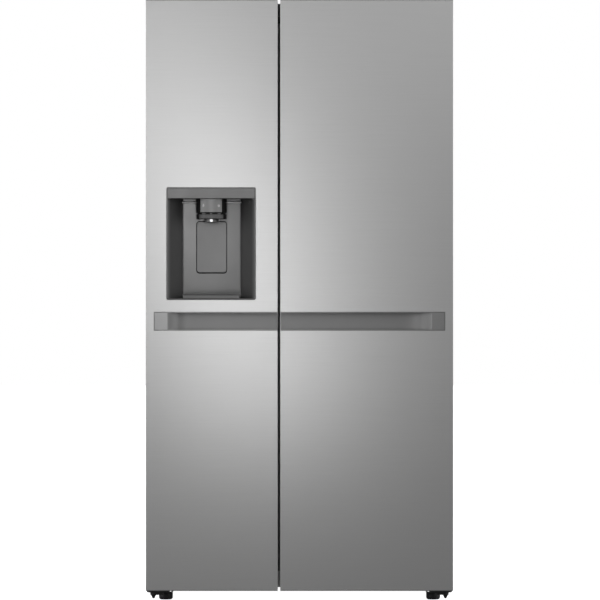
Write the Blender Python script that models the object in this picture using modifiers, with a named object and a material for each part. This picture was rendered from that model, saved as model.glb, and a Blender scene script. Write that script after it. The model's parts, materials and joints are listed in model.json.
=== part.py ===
"""A side by side refrigerator: freezer on the left with a water and ice dispenser, fridge on the right.

Units are metres, +Z is up and the doors face -Y. The origin is the middle of the footprint, on the floor.
Run it with blender --background --python part.py, or from Blender's text editor.
"""

import math

import bmesh
import bpy
from mathutils import Matrix, Vector

# ---------------------------------------------------------------- driving dimensions
WIDTH = 0.913
DEPTH = 0.735
HEIGHT = 1.790
GAP = 0.0003  # free space between two pieces that touch
SHEET = 0.0012  # folded sheet steel
WALL = 0.002  # vacuum-formed liner
PLASTIC = 0.0025  # moulded bins, drawers and covers

LEFT, RIGHT = -WIDTH / 2, WIDTH / 2
FRONT, BACK = -DEPTH / 2, DEPTH / 2

# doors
DOOR_BACK = FRONT + 0.100
DOOR_BOTTOM = 0.035
SKIN_BACK = DOOR_BACK - 0.0015
SKIN_RADIUS = 0.004
SPLIT_X = -0.0611  # middle of the gap between the doors
SPLIT = 0.0077
PIVOT_INSET = 0.0206
PIVOT_Y = DOOR_BACK - 0.0325
GASKET_WIDTH = 0.015
GASKET_Z = (0.0615, 1.735)
DYKE_BACK = DOOR_BACK + 0.0315  # tip of the moulded rim inside the gasket
DYKE_WIDTH = 0.028
DYKE_Z = (0.098, 1.699)
PANEL_BACK = DOOR_BACK + 0.0055
BIN_BACK = FRONT + 0.2225
SHALLOW_BIN_BACK = FRONT + 0.1625
NOTCH_DEPTH = 0.042  # lowered corner of the door's top, where the hinge plate swings
NOTCH_WIDTH = 0.085
NOTCH_FRONT = FRONT + 0.030

# handle groove
GROOVE_Z = (0.8088, 0.8628)
GROOVE_END = 0.4318  # distance of the groove's outer end from the middle of the appliance
GROOVE_DEPTH = 0.023
GROOVE_FLAT = 0.031
GROOVE_RAMP = 0.034  # length of the steep ramp at the outer end
GROOVE_STEP = 0.015  # depth at the foot of that ramp
GROOVE_SLOPE = 0.120  # length of the gentle slope from there to the full depth
GROOVE_UNDERCUT = 0.006
GROOVE_LIP = 0.004

# dispenser
DISPENSER_X = (-0.3950, -0.1300)
DISPENSER_Z = (0.8996, 1.2331)
DISPENSER_MID = -0.2627
RECESS_BACK = FRONT + 0.0815
RECESS_BACK_X = (-0.3475, -0.1775)
RECESS_Z = (0.9036, 1.2011)
RIM = 0.0035
HEAD_Y = FRONT + 0.0520
HEAD_RADIUS = 0.0466
PADDLE_X = (-0.3073, -0.2181)
PADDLE_Z = (0.9810, 1.1336)
PADDLE_THICKNESS = 0.004
CAVITY_BACK = RECESS_BACK + 0.024

# cabinet
CASE_HALF = WIDTH / 2 - 0.002
CASE_FRONT = FRONT + 0.115
CASE_BACK = BACK - 0.015
CASE_BOTTOM, CASE_TOP = 0.050, 1.750
FREEZER_X = (-0.398, -0.093)
FRIDGE_X = (-0.029, 0.400)
ROOM_Z = (0.089, 1.708)  # floor and ceiling of both compartments
ROOM_BACK = 0.260
STEP_Y, STEP_Z = 0.088, 0.343  # floor step over the machine room
MACHINE_FRONT, MACHINE_TOP, MACHINE_HALF = 0.135, 0.300, 0.4375
SKIRT_BOTTOM = 0.038
COLLAR = 0.0025  # how far the collars stand out of the rear cover
GLAND_AT, INLET_AT = (0.410, 0.100), (-0.410, 0.100)

# shelves and drawers
SHELF_FRONT = -0.120
SHELF_THICKNESS = 0.010
FREEZER_SHELVES = (0.930, 1.310)
FRIDGE_SHELVES = (0.560, 0.930, 1.310)
RIB = 0.008
DRAWER_FRONT = -0.130
LOWER_DRAWER_Z, LOWER_DRAWER_BACK = (0.098, 0.325), 0.080
UPPER_DRAWER_Z, UPPER_DRAWER_BACK = (0.350, 0.545), 0.200
DUCT_COVER_Y = 0.215

# supports
FOOT_X, FOOT_Y = 0.4015, -0.225
ROLLER_Y, ROLLER_RADIUS = 0.290, 0.020
AXLE_RADIUS = 0.004
STUD_RADIUS = 0.005

PIN_RADIUS = 0.005
PIN_CLEARANCE = 0.0005
ROUND = 24  # sides of a round piece


# ---------------------------------------------------------------- scene and materials
def clear_scene():
    for obj in list(bpy.data.objects):
        bpy.data.objects.remove(obj)


def new_collection(name):
    collection = bpy.data.collections.new(name)
    bpy.context.scene.collection.children.link(collection)
    return collection


def new_material(name, colour, roughness, metallic=0.0, alpha=1.0):
    material = bpy.data.materials.new(name)
    material.use_nodes = True
    shader = material.node_tree.nodes["Principled BSDF"]
    shader.inputs["Base Color"].default_value = (*colour, 1.0)
    shader.inputs["Roughness"].default_value = roughness
    shader.inputs["Metallic"].default_value = metallic
    shader.inputs["Alpha"].default_value = alpha
    return material


clear_scene()
PARTS = new_collection("side_by_side_refrigerator")
CUTTERS = new_collection("cutters")

STEEL = new_material("brushed_steel", (0.50, 0.50, 0.50), 0.35, 1.0)
CASE_PAINT = new_material("grey_case_paint", (0.23, 0.23, 0.24), 0.45)
ZINC = new_material("zinc_plate", (0.55, 0.56, 0.56), 0.40, 1.0)
WHITE = new_material("white_liner", (0.86, 0.87, 0.87), 0.35)
CLEAR = new_material("clear_plastic", (0.80, 0.88, 0.90), 0.10, 0.0, 0.35)
GLASS = new_material("shelf_glass", (0.75, 0.85, 0.82), 0.05, 0.0, 0.35)
DARK = new_material("dark_plastic", (0.10, 0.10, 0.10), 0.40)
HANDLE = new_material("handle_grey", (0.17, 0.17, 0.17), 0.35, 0.6)
BLACK = new_material("black_plastic", (0.012, 0.012, 0.015), 0.45)
BLACK_STEEL = new_material("black_painted_steel", (0.010, 0.010, 0.012), 0.50)
GLOSS_BLACK = new_material("gloss_black", (0.01, 0.01, 0.01), 0.12)
RUBBER = new_material("seal_rubber", (0.10, 0.10, 0.10), 0.75)
FOAM = new_material("insulation_foam", (0.80, 0.72, 0.45), 0.90)
DOOR_INNER = new_material("white_door_body", (0.86, 0.87, 0.87), 0.35)
CIRCUIT = new_material("black_circuit_paint", (0.05, 0.05, 0.05), 0.50)
ALUMINIUM = new_material("aluminium_tube", (0.75, 0.76, 0.78), 0.35, 1.0)


# ---------------------------------------------------------------- shape tools
def place(obj, material, collection=None):
    (collection or PARTS).objects.link(obj)
    if material:
        obj.data.materials.append(material)
    return obj


def boxes(name, corners, material=None, collection=None):
    """One mesh of one or more boxes, each given by its (x, y, z) ranges."""
    middle = Vector(sum(sum(span) for span in axis) / 2 / len(corners) for axis in zip(*corners))
    bm = bmesh.new()
    for ranges in corners:
        size = [abs(b - a) for a, b in ranges]
        centre = Vector((a + b) / 2 for a, b in ranges) - middle
        cube = Matrix.Translation(centre) @ Matrix.Diagonal((*size, 1.0))
        bmesh.ops.create_cube(bm, size=1.0, matrix=cube)
    mesh = bpy.data.meshes.new(name)
    bm.to_mesh(mesh)
    bm.free()
    obj = bpy.data.objects.new(name, mesh)
    obj.location = middle
    return place(obj, material, collection)


def box(name, x, y, z, material=None, collection=None):
    return boxes(name, [(x, y, z)], material, collection)


def cylinder(name, radius, centre, axis, length, material=None, collection=None, sides=ROUND):
    bm = bmesh.new()
    bmesh.ops.create_cone(
        bm, cap_ends=True, segments=sides, radius1=radius, radius2=radius, depth=length
    )
    mesh = bpy.data.meshes.new(name)
    bm.to_mesh(mesh)
    bm.free()
    obj = bpy.data.objects.new(name, mesh)
    obj.rotation_euler = Vector(axis).to_track_quat("Z", "Y").to_euler()
    obj.location = centre
    return place(obj, material, collection)


def turned(name, profile, centre, axis, material=None, ring=False, steps=ROUND):
    """A profile of (radius, height) points, listed down its outer side, turned about axis."""
    count = len(profile)
    edges = [(i, i + 1) for i in range(count - 1)] + ([(count - 1, 0)] if ring else [])
    mesh = bpy.data.meshes.new(name)
    mesh.from_pydata([(radius, 0.0, height) for radius, height in profile], edges, [])
    obj = bpy.data.objects.new(name, mesh)
    screw = obj.modifiers.new("turn", "SCREW")
    screw.steps = screw.render_steps = steps
    screw.use_merge_vertices = True
    screw.merge_threshold = 0.00001
    screw.use_smooth_shade = True
    obj.rotation_euler = Vector(axis).to_track_quat("Z", "Y").to_euler()
    obj.location = centre
    return place(obj, material)


def mesh_from_curve(curve, name, material, collection):
    """The curve's closed mesh as a new object, so that it can be cut and joined."""
    bpy.context.view_layer.update()
    graph = bpy.context.evaluated_depsgraph_get()
    mesh = bpy.data.meshes.new_from_object(curve.evaluated_get(graph))
    bm = bmesh.new()
    bm.from_mesh(mesh)
    bmesh.ops.remove_doubles(bm, verts=bm.verts, dist=0.00001)
    bm.to_mesh(mesh)
    bm.free()
    obj = bpy.data.objects.new(name, mesh)
    obj.matrix_world = curve.matrix_world.copy()
    bpy.data.objects.remove(curve)
    obj.data.materials.clear()
    return place(obj, material, collection)


AXES = {  # columns: where an outline's own x, y and thickness point
    "x": Matrix(((0, 0, 1), (1, 0, 0), (0, 1, 0))),
    "y": Matrix(((1, 0, 0), (0, 0, -1), (0, 1, 0))),
    "z": Matrix.Identity(3),
}


def prism(name, outline, axis, span, material=None, collection=None):
    """A flat outline (y, z), (x, z) or (x, y), thickened along axis x, y or z over span."""
    curve = bpy.data.curves.new(name + "_outline", "CURVE")
    curve.dimensions = "2D"
    curve.fill_mode = "BOTH"
    curve.extrude = abs(span[1] - span[0]) / 2
    spline = curve.splines.new("POLY")
    spline.points.add(len(outline) - 1)
    for point, (u, v) in zip(spline.points, outline):
        point.co = (u, v, 0.0, 1.0)
    spline.use_cyclic_u = True
    obj = bpy.data.objects.new(name + "_outline", curve)
    shift = Vector([(span[0] + span[1]) / 2 if a == axis else 0.0 for a in "xyz"])
    obj.matrix_world = Matrix.Translation(shift) @ AXES[axis].to_4x4()
    PARTS.objects.link(obj)
    return mesh_from_curve(obj, name, material, collection)


def tube(name, points, radius, material):
    curve = bpy.data.curves.new(name, "CURVE")
    curve.dimensions = "3D"
    curve.bevel_depth = radius
    curve.bevel_resolution = 2
    curve.use_fill_caps = True
    spline = curve.splines.new("POLY")
    spline.points.add(len(points) - 1)
    middle = sum((Vector(p) for p in points), Vector()) / len(points)
    for point, place_at in zip(spline.points, points):
        point.co = (*(Vector(place_at) - middle), 1.0)
    obj = bpy.data.objects.new(name, curve)
    obj.location = middle
    return place(obj, material)


def boolean(obj, other, operation):
    modifier = obj.modifiers.new(other.name, "BOOLEAN")
    modifier.operation = operation
    modifier.solver = "EXACT"
    modifier.object = other
    for collection in list(other.users_collection):
        collection.objects.unlink(other)
    CUTTERS.objects.link(other)
    other.hide_render = True
    other.display_type = "WIRE"
    return obj


def cut(obj, *others):
    for other in others:
        boolean(obj, other, "DIFFERENCE")
    return obj


def join(obj, *others):
    for other in others:
        boolean(obj, other, "UNION")
    return obj


def round_edges(obj, radius, segments, choose):
    """Bevels the edges whose two ends, in world space, choose accepts."""
    bpy.context.view_layer.update()
    world = obj.matrix_world
    weights = obj.data.attributes.new("bevel_weight_edge", "FLOAT", "EDGE")
    for edge in obj.data.edges:
        ends = [world @ obj.data.vertices[i].co for i in edge.vertices]
        weights.data[edge.index].value = 1.0 if choose(*ends) else 0.0
    bevel = obj.modifiers.new("bevel", "BEVEL")
    bevel.limit_method = "WEIGHT"
    bevel.width = radius
    bevel.segments = segments
    return obj


def along(axis):
    """Chooses the edges parallel to an axis."""
    index = "xyz".index(axis)
    others = [i for i in range(3) if i != index]
    return lambda a, b: all(abs(a[i] - b[i]) < 1e-6 for i in others)


def ordered(a, b):
    return (min(a, b), max(a, b))


def joint_empty(name, location, parent=None):
    empty = bpy.data.objects.new(name, None)
    empty.empty_display_size = 0.05
    PARTS.objects.link(empty)
    empty.location = location
    if parent:
        attach(empty, parent)
    return empty


def attach(obj, parent):
    """Parents obj and leaves it where it is."""
    bpy.context.view_layer.update()
    obj.parent = parent
    obj.matrix_parent_inverse = parent.matrix_world.inverted()
    return obj


# ---------------------------------------------------------------- cabinet
def compartment_outline(grow=0.0, front=CASE_FRONT):
    """Side view of a compartment: the floor steps up over the machine room."""
    floor, ceiling = ROOM_Z
    return [
        (front, floor - grow),
        (STEP_Y + grow, floor - grow),
        (STEP_Y + grow, STEP_Z - grow),
        (ROOM_BACK + grow, STEP_Z - grow),
        (ROOM_BACK + grow, ceiling + grow),
        (front, ceiling + grow),
    ]


def grown(span, by):
    return (span[0] - by, span[1] + by)


def cabinet_wrap():
    """Folded steel: both sides and the top, with a flange turned in at the front."""
    x, y, z = (-CASE_HALF, CASE_HALF), (CASE_FRONT, CASE_BACK), (CASE_BOTTOM, CASE_TOP)
    wrap = box("cabinet_wrap", x, y, z, CASE_PAINT)
    inside = box(
        "wrap_inside",
        grown((-CASE_HALF, CASE_HALF), -SHEET),
        (CASE_FRONT + SHEET, CASE_BACK + 0.02),
        (CASE_BOTTOM - 0.02, CASE_TOP - SHEET),
    )
    mouth = box(
        "wrap_mouth",
        (FREEZER_X[0] - WALL - GAP, FRIDGE_X[1] + WALL + GAP),
        (CASE_FRONT - 0.02, CASE_FRONT + 0.02),
        (CASE_BOTTOM - 0.02, ROOM_Z[1] + WALL + GAP),
    )
    return cut(wrap, inside, mouth)


def back_panel():
    return box(
        "back_panel",
        grown((-CASE_HALF, CASE_HALF), -SHEET - GAP),
        (CASE_BACK - SHEET - GAP, CASE_BACK - GAP),
        (MACHINE_TOP + GAP, CASE_TOP - SHEET - GAP),
        ZINC,
    )


def insulation():
    foam = box(
        "insulation_foam",
        grown((-CASE_HALF, CASE_HALF), -SHEET - GAP),
        (CASE_FRONT + SHEET + 0.0005, CASE_BACK - SHEET - 2 * GAP),
        (CASE_BOTTOM + SHEET + 0.0005, CASE_TOP - SHEET - GAP),
        FOAM,
    )
    for name, room in (("freezer", FREEZER_X), ("fridge", FRIDGE_X)):
        outline = compartment_outline(WALL + GAP, CASE_FRONT - 0.02)
        cut(foam, prism(f"{name}_foam_cavity", outline, "x", grown(room, WALL + GAP)))
    machine_x = (-MACHINE_HALF, MACHINE_HALF)
    machine_room = box("machine_room", machine_x, (MACHINE_FRONT, 0.5), (0.0, MACHINE_TOP))
    return cut(foam, machine_room)


def liner(name, room, shelves, shelf_back):
    """One formed plastic tub, with the ribs that carry its shelves and drawers."""
    tub = prism(name, compartment_outline(WALL), "x", grown(room, WALL), WHITE)
    cut(tub, prism(name + "_inside", compartment_outline(0.0, CASE_FRONT - 0.02), "x", room))
    runners = [(z - GAP, SHELF_FRONT + 0.01, shelf_back) for z in shelves]
    runners.append((LOWER_DRAWER_Z[1] - 0.005 - GAP, DRAWER_FRONT + 0.01, LOWER_DRAWER_BACK))
    runners.append((UPPER_DRAWER_Z[1] - 0.005 - GAP, DRAWER_FRONT + 0.01, UPPER_DRAWER_BACK))
    ribs = []
    for top, front, back in runners:
        ribs.append(((room[0] - WALL / 2, room[0] + RIB), (front, back), (top - 0.006, top)))
        ribs.append(((room[1] - RIB, room[1] + WALL / 2), (front, back), (top - 0.006, top)))
    return join(tub, boxes(name + "_ribs", ribs))


def centre_mullion():
    return box(
        "centre_mullion",
        (FREEZER_X[1] + WALL + GAP, FRIDGE_X[0] - WALL - GAP),
        (CASE_FRONT, CASE_FRONT + SHEET),
        (ROOM_Z[0] - WALL, ROOM_Z[1] + WALL),
        CASE_PAINT,
    )


def base_frame():
    """Bottom sheet with the front cross rail, and a channel each side for the foot and the roller."""
    sheet_x = grown((-CASE_HALF, CASE_HALF), -SHEET - GAP)
    front = CASE_FRONT + SHEET + GAP
    sheet_z = (CASE_BOTTOM, CASE_BOTTOM + SHEET)
    base = box("base_frame", sheet_x, (front, CASE_BACK - 2 * SHEET), sheet_z, ZINC)
    mouth_x = (FREEZER_X[0] - WALL, FRIDGE_X[1] + WALL)
    rail_z = (CASE_BOTTOM, ROOM_Z[0] - WALL - GAP)
    rail = box("front_rail", mouth_x, (CASE_FRONT, CASE_FRONT + SHEET), rail_z)
    fold = box("front_fold", mouth_x, (CASE_FRONT, front + 0.001), (CASE_BOTTOM, CASE_BOTTOM + SHEET))
    skirt_z = (SKIRT_BOTTOM, CASE_BOTTOM + SHEET)
    skirt = box("front_skirt", (-0.384, 0.384), (CASE_FRONT, CASE_FRONT + SHEET), skirt_z)
    join(base, rail, fold, skirt)
    half, wall = 0.0175, 0.0025
    for side, x in (("left", -FOOT_X), ("right", FOOT_X)):
        channel = [((x - half, x + half), (-0.246, 0.335), (0.0465, CASE_BOTTOM + 0.0005))]
        web = boxes(f"{side}_channel_web", channel)
        outer = box(f"{side}_channel_wall_a", (x - half, x - half + wall), (-0.190, 0.335), (0.012, 0.048))
        inner = box(f"{side}_channel_wall_b", (x + half - wall, x + half), (-0.190, 0.335), (0.012, 0.048))
        middle = (x, ROLLER_Y, ROLLER_RADIUS)
        axle = cylinder(f"{side}_axle", AXLE_RADIUS, middle, (1, 0, 0), 2 * half - 0.001)
        join(base, web, outer, inner, axle)
        cut(base, cylinder(f"{side}_stud_hole", STUD_RADIUS + GAP, (x, FOOT_Y, 0.05), (0, 0, 1), 0.02))
    return base


def hinge_cover(side, sign):
    """Moulded cover over the top hinge and the wiring, one for each half of the cabinet's top edge."""
    outer, inner = sign * (CASE_HALF - 0.0005), sign * 0.0005
    y = (CASE_FRONT - 0.0075, CASE_FRONT + 0.1025)
    top = HEIGHT - 0.003
    cover = box(f"hinge_cover_{side}", ordered(outer, inner), y, (CASE_TOP + 0.0005, top), BLACK)
    round_edges(cover, 0.005, 2, lambda a, b: a.z > CASE_TOP + 0.01 and b.z > CASE_TOP + 0.01)
    hollow = box(
        f"{side}_cover_hollow",
        grown(ordered(outer, inner), -PLASTIC),
        grown(y, -PLASTIC),
        (CASE_TOP - 0.02, top - PLASTIC),
    )
    slot = box(
        f"{side}_cover_slot",
        ordered(sign * (CASE_HALF - 0.0025), sign * 0.393),
        (y[0] - 0.01, y[0] + 0.01),
        (CASE_TOP - 0.02, CASE_TOP + 0.006),
    )
    return cut(cover, hollow, slot)


def top_hinge(side, sign):
    pivot_x = sign * (RIGHT - PIVOT_INSET)
    plate_z = (CASE_TOP + GAP, CASE_TOP + 0.0043)
    x = ordered(sign * 0.450, sign * 0.395)
    plate = box(f"top_hinge_{side}", x, (PIVOT_Y - 0.015, CASE_FRONT + 0.080), plate_z, ZINC)
    round_edges(plate, 0.010, 3, lambda a, b: along("z")(a, b) and a.y < PIVOT_Y)
    pin = cylinder(f"{side}_top_pin", PIN_RADIUS, (pivot_x, PIVOT_Y, CASE_TOP - 0.0115), (0, 0, 1), 0.027)
    return join(plate, pin)


def bottom_hinge(side, sign):
    """Steel bracket under the door, with the pin above it and the height nut below."""
    pivot_x = sign * (RIGHT - PIVOT_INSET)
    x = ordered(sign * 0.4555, sign * 0.388)
    foot_side = CASE_FRONT + 0.0055
    bracket = box(f"bottom_hinge_{side}", x, (PIVOT_Y - 0.015, foot_side), (0.0262, 0.0335), BLACK_STEEL)
    round_edges(bracket, 0.012, 3, lambda a, b: along("z")(a, b) and a.y < PIVOT_Y)
    upstand = box(f"{side}_hinge_upstand", x, (CASE_FRONT, foot_side - 0.0005), (0.0300, CASE_BOTTOM - GAP))
    pin = turned(
        f"{side}_bottom_pin",
        [
            (0, 0.0600), (PIN_RADIUS, 0.0590), (PIN_RADIUS, 0.0300), (0.0100, 0.0300),
            (0.0100, 0.0195), (0.0065, 0.0160), (0.0028, 0.0080), (0, 0.0075),
        ],
        (pivot_x, PIVOT_Y, 0),
        (0, 0, 1),
        steps=12,
    )
    return join(bracket, upstand, pin)


def levelling_foot(side, sign):
    """Threaded stud and round foot in one moulding: turning it raises or lowers the corner."""
    profile = [
        (0, 0.0510), (STUD_RADIUS, 0.0510), (STUD_RADIUS, 0.0235), (0.0150, 0.0225), (0.0196, 0.0212),
        (0.0210, 0.0194), (0.0210, 0.0060), (0.0196, 0.0022), (0.0165, 0), (0, 0),
    ]
    return turned(f"levelling_foot_{side}", profile, (sign * FOOT_X, FOOT_Y, 0), (0, 0, 1), BLACK)


def rear_roller(side, sign):
    bore, half = AXLE_RADIUS + GAP, 0.011
    profile = [
        (bore, half), (ROLLER_RADIUS - 0.0015, half), (ROLLER_RADIUS, half - 0.002),
        (ROLLER_RADIUS, -half + 0.002), (ROLLER_RADIUS - 0.0015, -half), (bore, -half),
    ]
    centre = (sign * FOOT_X, ROLLER_Y, ROLLER_RADIUS)
    return turned(f"rear_roller_{side}", profile, centre, (1, 0, 0), BLACK, ring=True)


# ---------------------------------------------------------------- machine room and cold air
def serpentine(name, x, z_values, y, radius, material):
    """A tube that runs to and fro along x, with a round bend at each end."""
    points = []
    for row, z in enumerate(z_values):
        ends = x if row % 2 == 0 else (x[1], x[0])
        points += [(ends[0], y, z), (ends[1], y, z)]
        if row + 1 < len(z_values):
            bend, outward = (z_values[row + 1] - z) / 2, 1 if ends[1] > ends[0] else -1
            for step in range(1, 5):
                angle = math.pi * step / 5
                reach = ends[1] + outward * bend * math.sin(angle)
                points.append((reach, y, z + bend * (1 - math.cos(angle))))
    return tube(name, points, radius, material)


def compressor():
    x, y = 0.225, 0.243
    profile = [
        (0, 0.235), (0.030, 0.233), (0.058, 0.222), (0.073, 0.196), (0.075, 0.165),
        (0.079, 0.160), (0.079, 0.152), (0.075, 0.147), (0.073, 0.110), (0.058, 0.080), (0.025, 0.068),
        (0, 0.068),
    ]
    shell = turned("compressor", profile, (x, y, 0), (0, 0, 1), CIRCUIT)
    base_z = CASE_BOTTOM + SHEET + GAP
    plate = box("compressor_plate", (x - 0.095, x + 0.095), (y - 0.050, y + 0.050), (0.069, 0.073))
    join(shell, plate)
    for i, (dx, dy) in enumerate(((-0.08, -0.035), (0.08, -0.035), (-0.08, 0.035), (0.08, 0.035))):
        foot = cylinder(
            f"compressor_foot_{i}", 0.010, (x + dx, y + dy, (base_z + 0.071) / 2), (0, 0, 1), 0.071 - base_z,
            sides=12,
        )
        join(shell, foot)
    return shell


def fan(name, centre, axis, radius, depth):
    """A hub and five pitched blades."""
    rotor = cylinder(name, radius * 0.30, centre, axis, depth, DARK, sides=16)
    turn = Vector(axis).to_track_quat("Z", "Y").to_matrix().to_4x4()
    bm = bmesh.new()
    blade_size = Matrix.Diagonal((radius * 0.78, radius * 0.50, 0.002, 1.0))
    for blade in range(5):
        spin = Matrix.Rotation(math.tau * blade / 5, 4, "Z")
        pitch = Matrix.Rotation(math.radians(22), 4, "X")
        reach = Matrix.Translation((radius * 0.60, 0, 0))
        bmesh.ops.create_cube(bm, size=1.0, matrix=spin @ reach @ pitch @ blade_size)
    mesh = bpy.data.meshes.new(name + "_blades")
    bm.to_mesh(mesh)
    bm.free()
    blades = bpy.data.objects.new(name + "_blades", mesh)
    blades.matrix_world = Matrix.Translation(centre) @ turn
    PARTS.objects.link(blades)
    return join(rotor, blades)


FAN_Y, FAN_Z = 0.243, 0.140
EVAPORATOR_FAN = (-0.2455, 0.236, 1.120)


def condenser_fan_frame():
    x, z0 = (0.025, 0.033), CASE_BOTTOM + SHEET + GAP
    frame = box("condenser_fan_frame", x, (FAN_Y - 0.083, FAN_Y + 0.083), (z0, 0.228), BLACK)
    cut(frame, cylinder("fan_ring", 0.070, (0.029, FAN_Y, FAN_Z), (1, 0, 0), 0.05))
    arm = box("motor_arm", (0.026, 0.032), (FAN_Y - 0.075, FAN_Y + 0.075), (FAN_Z - 0.008, FAN_Z + 0.008))
    motor = cylinder("fan_motor", 0.022, (0.045, FAN_Y, FAN_Z), (1, 0, 0), 0.036)
    return join(frame, arm, motor)


def open_tray(name, x, y, z, wall, material):
    tray = box(name, x, y, z, material)
    return cut(tray, box(name + "_inside", grown(x, -wall), grown(y, -wall), (z[0] + wall, z[1] + 0.02)))


def machine_room_cover():
    """Pressed rear cover with louvre slots, the power lead's gland and the water inlet's collar."""
    outside = BACK - COLLAR
    x, y, z = (-0.440, 0.440), (CASE_BACK - SHEET - GAP, outside), (CASE_BOTTOM + 0.003, MACHINE_TOP - 0.002)
    cover = box("machine_room_cover", x, y, z, BLACK)
    inside = box("cover_inside", grown(x, -SHEET), (y[0] - 0.02, y[1] - SHEET), grown(z, -SHEET))
    slots = []
    for middle in (-0.27, 0.27):
        for row in range(9):
            low = 0.085 + row * 0.021
            slots.append(((middle - 0.11, middle + 0.11), (BACK - 0.01, BACK + 0.01), (low, low + 0.008)))
    cut(cover, inside, boxes("cover_slots", slots))
    length = COLLAR + SHEET / 2
    for name, at, outer, bore in (("gland", GLAND_AT, 0.0120, 0.0050), ("inlet", INLET_AT, 0.0130, 0.0075)):
        collar = cylinder(name, outer, (at[0], BACK - length / 2, at[1]), (0, 1, 0), length, sides=32)
        join(cover, collar)
        cut(cover, cylinder(name + "_bore", bore, (at[0], BACK, at[1]), (0, 1, 0), 0.04, sides=24))
    return cover


def control_box():
    """Housing of the main circuit board, on the back."""
    lid = box("control_box", (-0.13, 0.13), (CASE_BACK + GAP, BACK), (1.46, 1.70), DARK)
    return round_edges(lid, 0.006, 2, lambda a, b: a.y > BACK - 0.001 and b.y > BACK - 0.001)


def freezer_duct_cover():
    """Panel in front of the evaporator, with air outlets and the fan's opening."""
    x, y = grown(FREEZER_X, -0.0015), (DUCT_COVER_Y, DUCT_COVER_Y + 0.003)
    cover = box("freezer_duct_cover", x, y, (STEP_Z + 0.0015, ROOM_Z[1] - 0.0015), WHITE)
    through = (y[0] - 0.01, y[1] + 0.01)
    middle = EVAPORATOR_FAN[0]
    slots = []
    for low in (0.640, 0.665, 0.860, 0.885, 1.420, 1.445, 1.620, 1.645):
        slots.append(((middle - 0.09, middle + 0.09), through, (low, low + 0.009)))
    cut(cover, boxes("duct_slots", slots))
    cut(cover, cylinder("duct_fan_hole", 0.053, (middle, y[0], EVAPORATOR_FAN[2]), (0, 1, 0), 0.05))
    cross = 0.057
    level = EVAPORATOR_FAN[2]
    arm = box("fan_arm", (middle - cross, middle + cross), y, (level - 0.006, level + 0.006))
    boss = cylinder("fan_boss", 0.012, (middle, y[0] + 0.0045, level), (0, 1, 0), 0.008, sides=16)
    return join(cover, arm, boss)


def fridge_duct_cover():
    """Hollow air column on the fridge's back wall, with an outlet for each shelf."""
    x, y, z = (0.105, 0.265), (0.238, ROOM_BACK - 0.001), (0.360, 1.690)
    column = box("fridge_duct_cover", x, y, z, WHITE)
    hollow = box("column_hollow", grown(x, -PLASTIC), (y[0] + PLASTIC, y[1] + 0.02), grown(z, -PLASTIC))
    outlets = []
    for low in (0.62, 0.78, 1.02, 1.18, 1.40, 1.56):
        outlets.append(((x[0] + 0.03, x[1] - 0.03), (y[0] - 0.01, y[0] + 0.01), (low, low + 0.010)))
    return cut(column, hollow, boxes("column_outlets", outlets))


# ---------------------------------------------------------------- shelves, drawers and bins
def shelf(name, room, back, top_of_rib):
    """Toughened glass in a moulded frame, deeper at its front edge."""
    x, z = grown(room, -0.0015), (top_of_rib, top_of_rib + SHELF_THICKNESS)
    frame = box(name, x, (SHELF_FRONT, back), z, GLASS)
    well_y, well_z = (SHELF_FRONT + 0.018, back - 0.014), (z[1] - 0.002, z[1] + 0.02)
    lip_y, lip_z = (SHELF_FRONT, SHELF_FRONT + 0.008), (z[0] - 0.008, z[0] + 0.001)
    well = box(name + "_well", grown(x, -0.014), well_y, well_z)
    lip = box(name + "_lip", grown(x, -RIB), lip_y, lip_z)
    return join(cut(frame, well), lip)


def drawer(name, room, back, z):
    """Clear tub that hangs by its side flanges, with a grip along the top of its front."""
    body_x = grown(room, -RIB - 0.0015)
    y = (DRAWER_FRONT, back)
    tub = box(name, body_x, y, z, CLEAR)
    flange_z = (z[1] - 0.005, z[1])
    flanges = [
        ((room[0] + 0.002, body_x[0] + 0.001), (DRAWER_FRONT + 0.01, back), flange_z),
        ((body_x[1] - 0.001, room[1] - 0.002), (DRAWER_FRONT + 0.01, back), flange_z),
    ]
    grip_y = (DRAWER_FRONT - 0.010, DRAWER_FRONT + 0.001)
    grip = box(name + "_grip", grown(body_x, -0.05), grip_y, (z[1] - 0.016, z[1]))
    join(tub, boxes(name + "_flanges", flanges), grip)
    inside = box(
        name + "_inside",
        grown(body_x, -PLASTIC),
        (y[0] + 0.006, y[1] - PLASTIC),
        (z[0] + PLASTIC, z[1] + 0.02),
    )
    return cut(tub, inside)


def door_bin(name, x, back, z):
    """Open bin between the door's dykes; its inner side, towards the shelves, is the retaining wall."""
    return open_tray(name, x, (PANEL_BACK + 0.0005, back), z, PLASTIC, CLEAR)


# ---------------------------------------------------------------- doors
class Door:
    """The places that both doors share, mirrored by side: -1 hinges on the left, 1 on the right."""

    def __init__(self, name, side, room):
        self.name, self.side = name, side
        self.outer_x = side * RIGHT
        self.free_x = SPLIT_X + side * SPLIT / 2
        self.pivot_x = side * (RIGHT - PIVOT_INSET)
        self.x = ordered(self.outer_x, self.free_x)
        hinge_wall = room[0] if side < 0 else room[1]
        self.dyke_x = ordered(hinge_wall - side * 0.006, self.free_x + side * 0.036)
        self.between_x = grown(self.dyke_x, -DYKE_WIDTH)
        self.bin_x = grown(self.between_x, -0.0015)
        self.gasket_x = ordered(self.outer_x - side * 0.024, self.free_x + side * 0.010)


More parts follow.
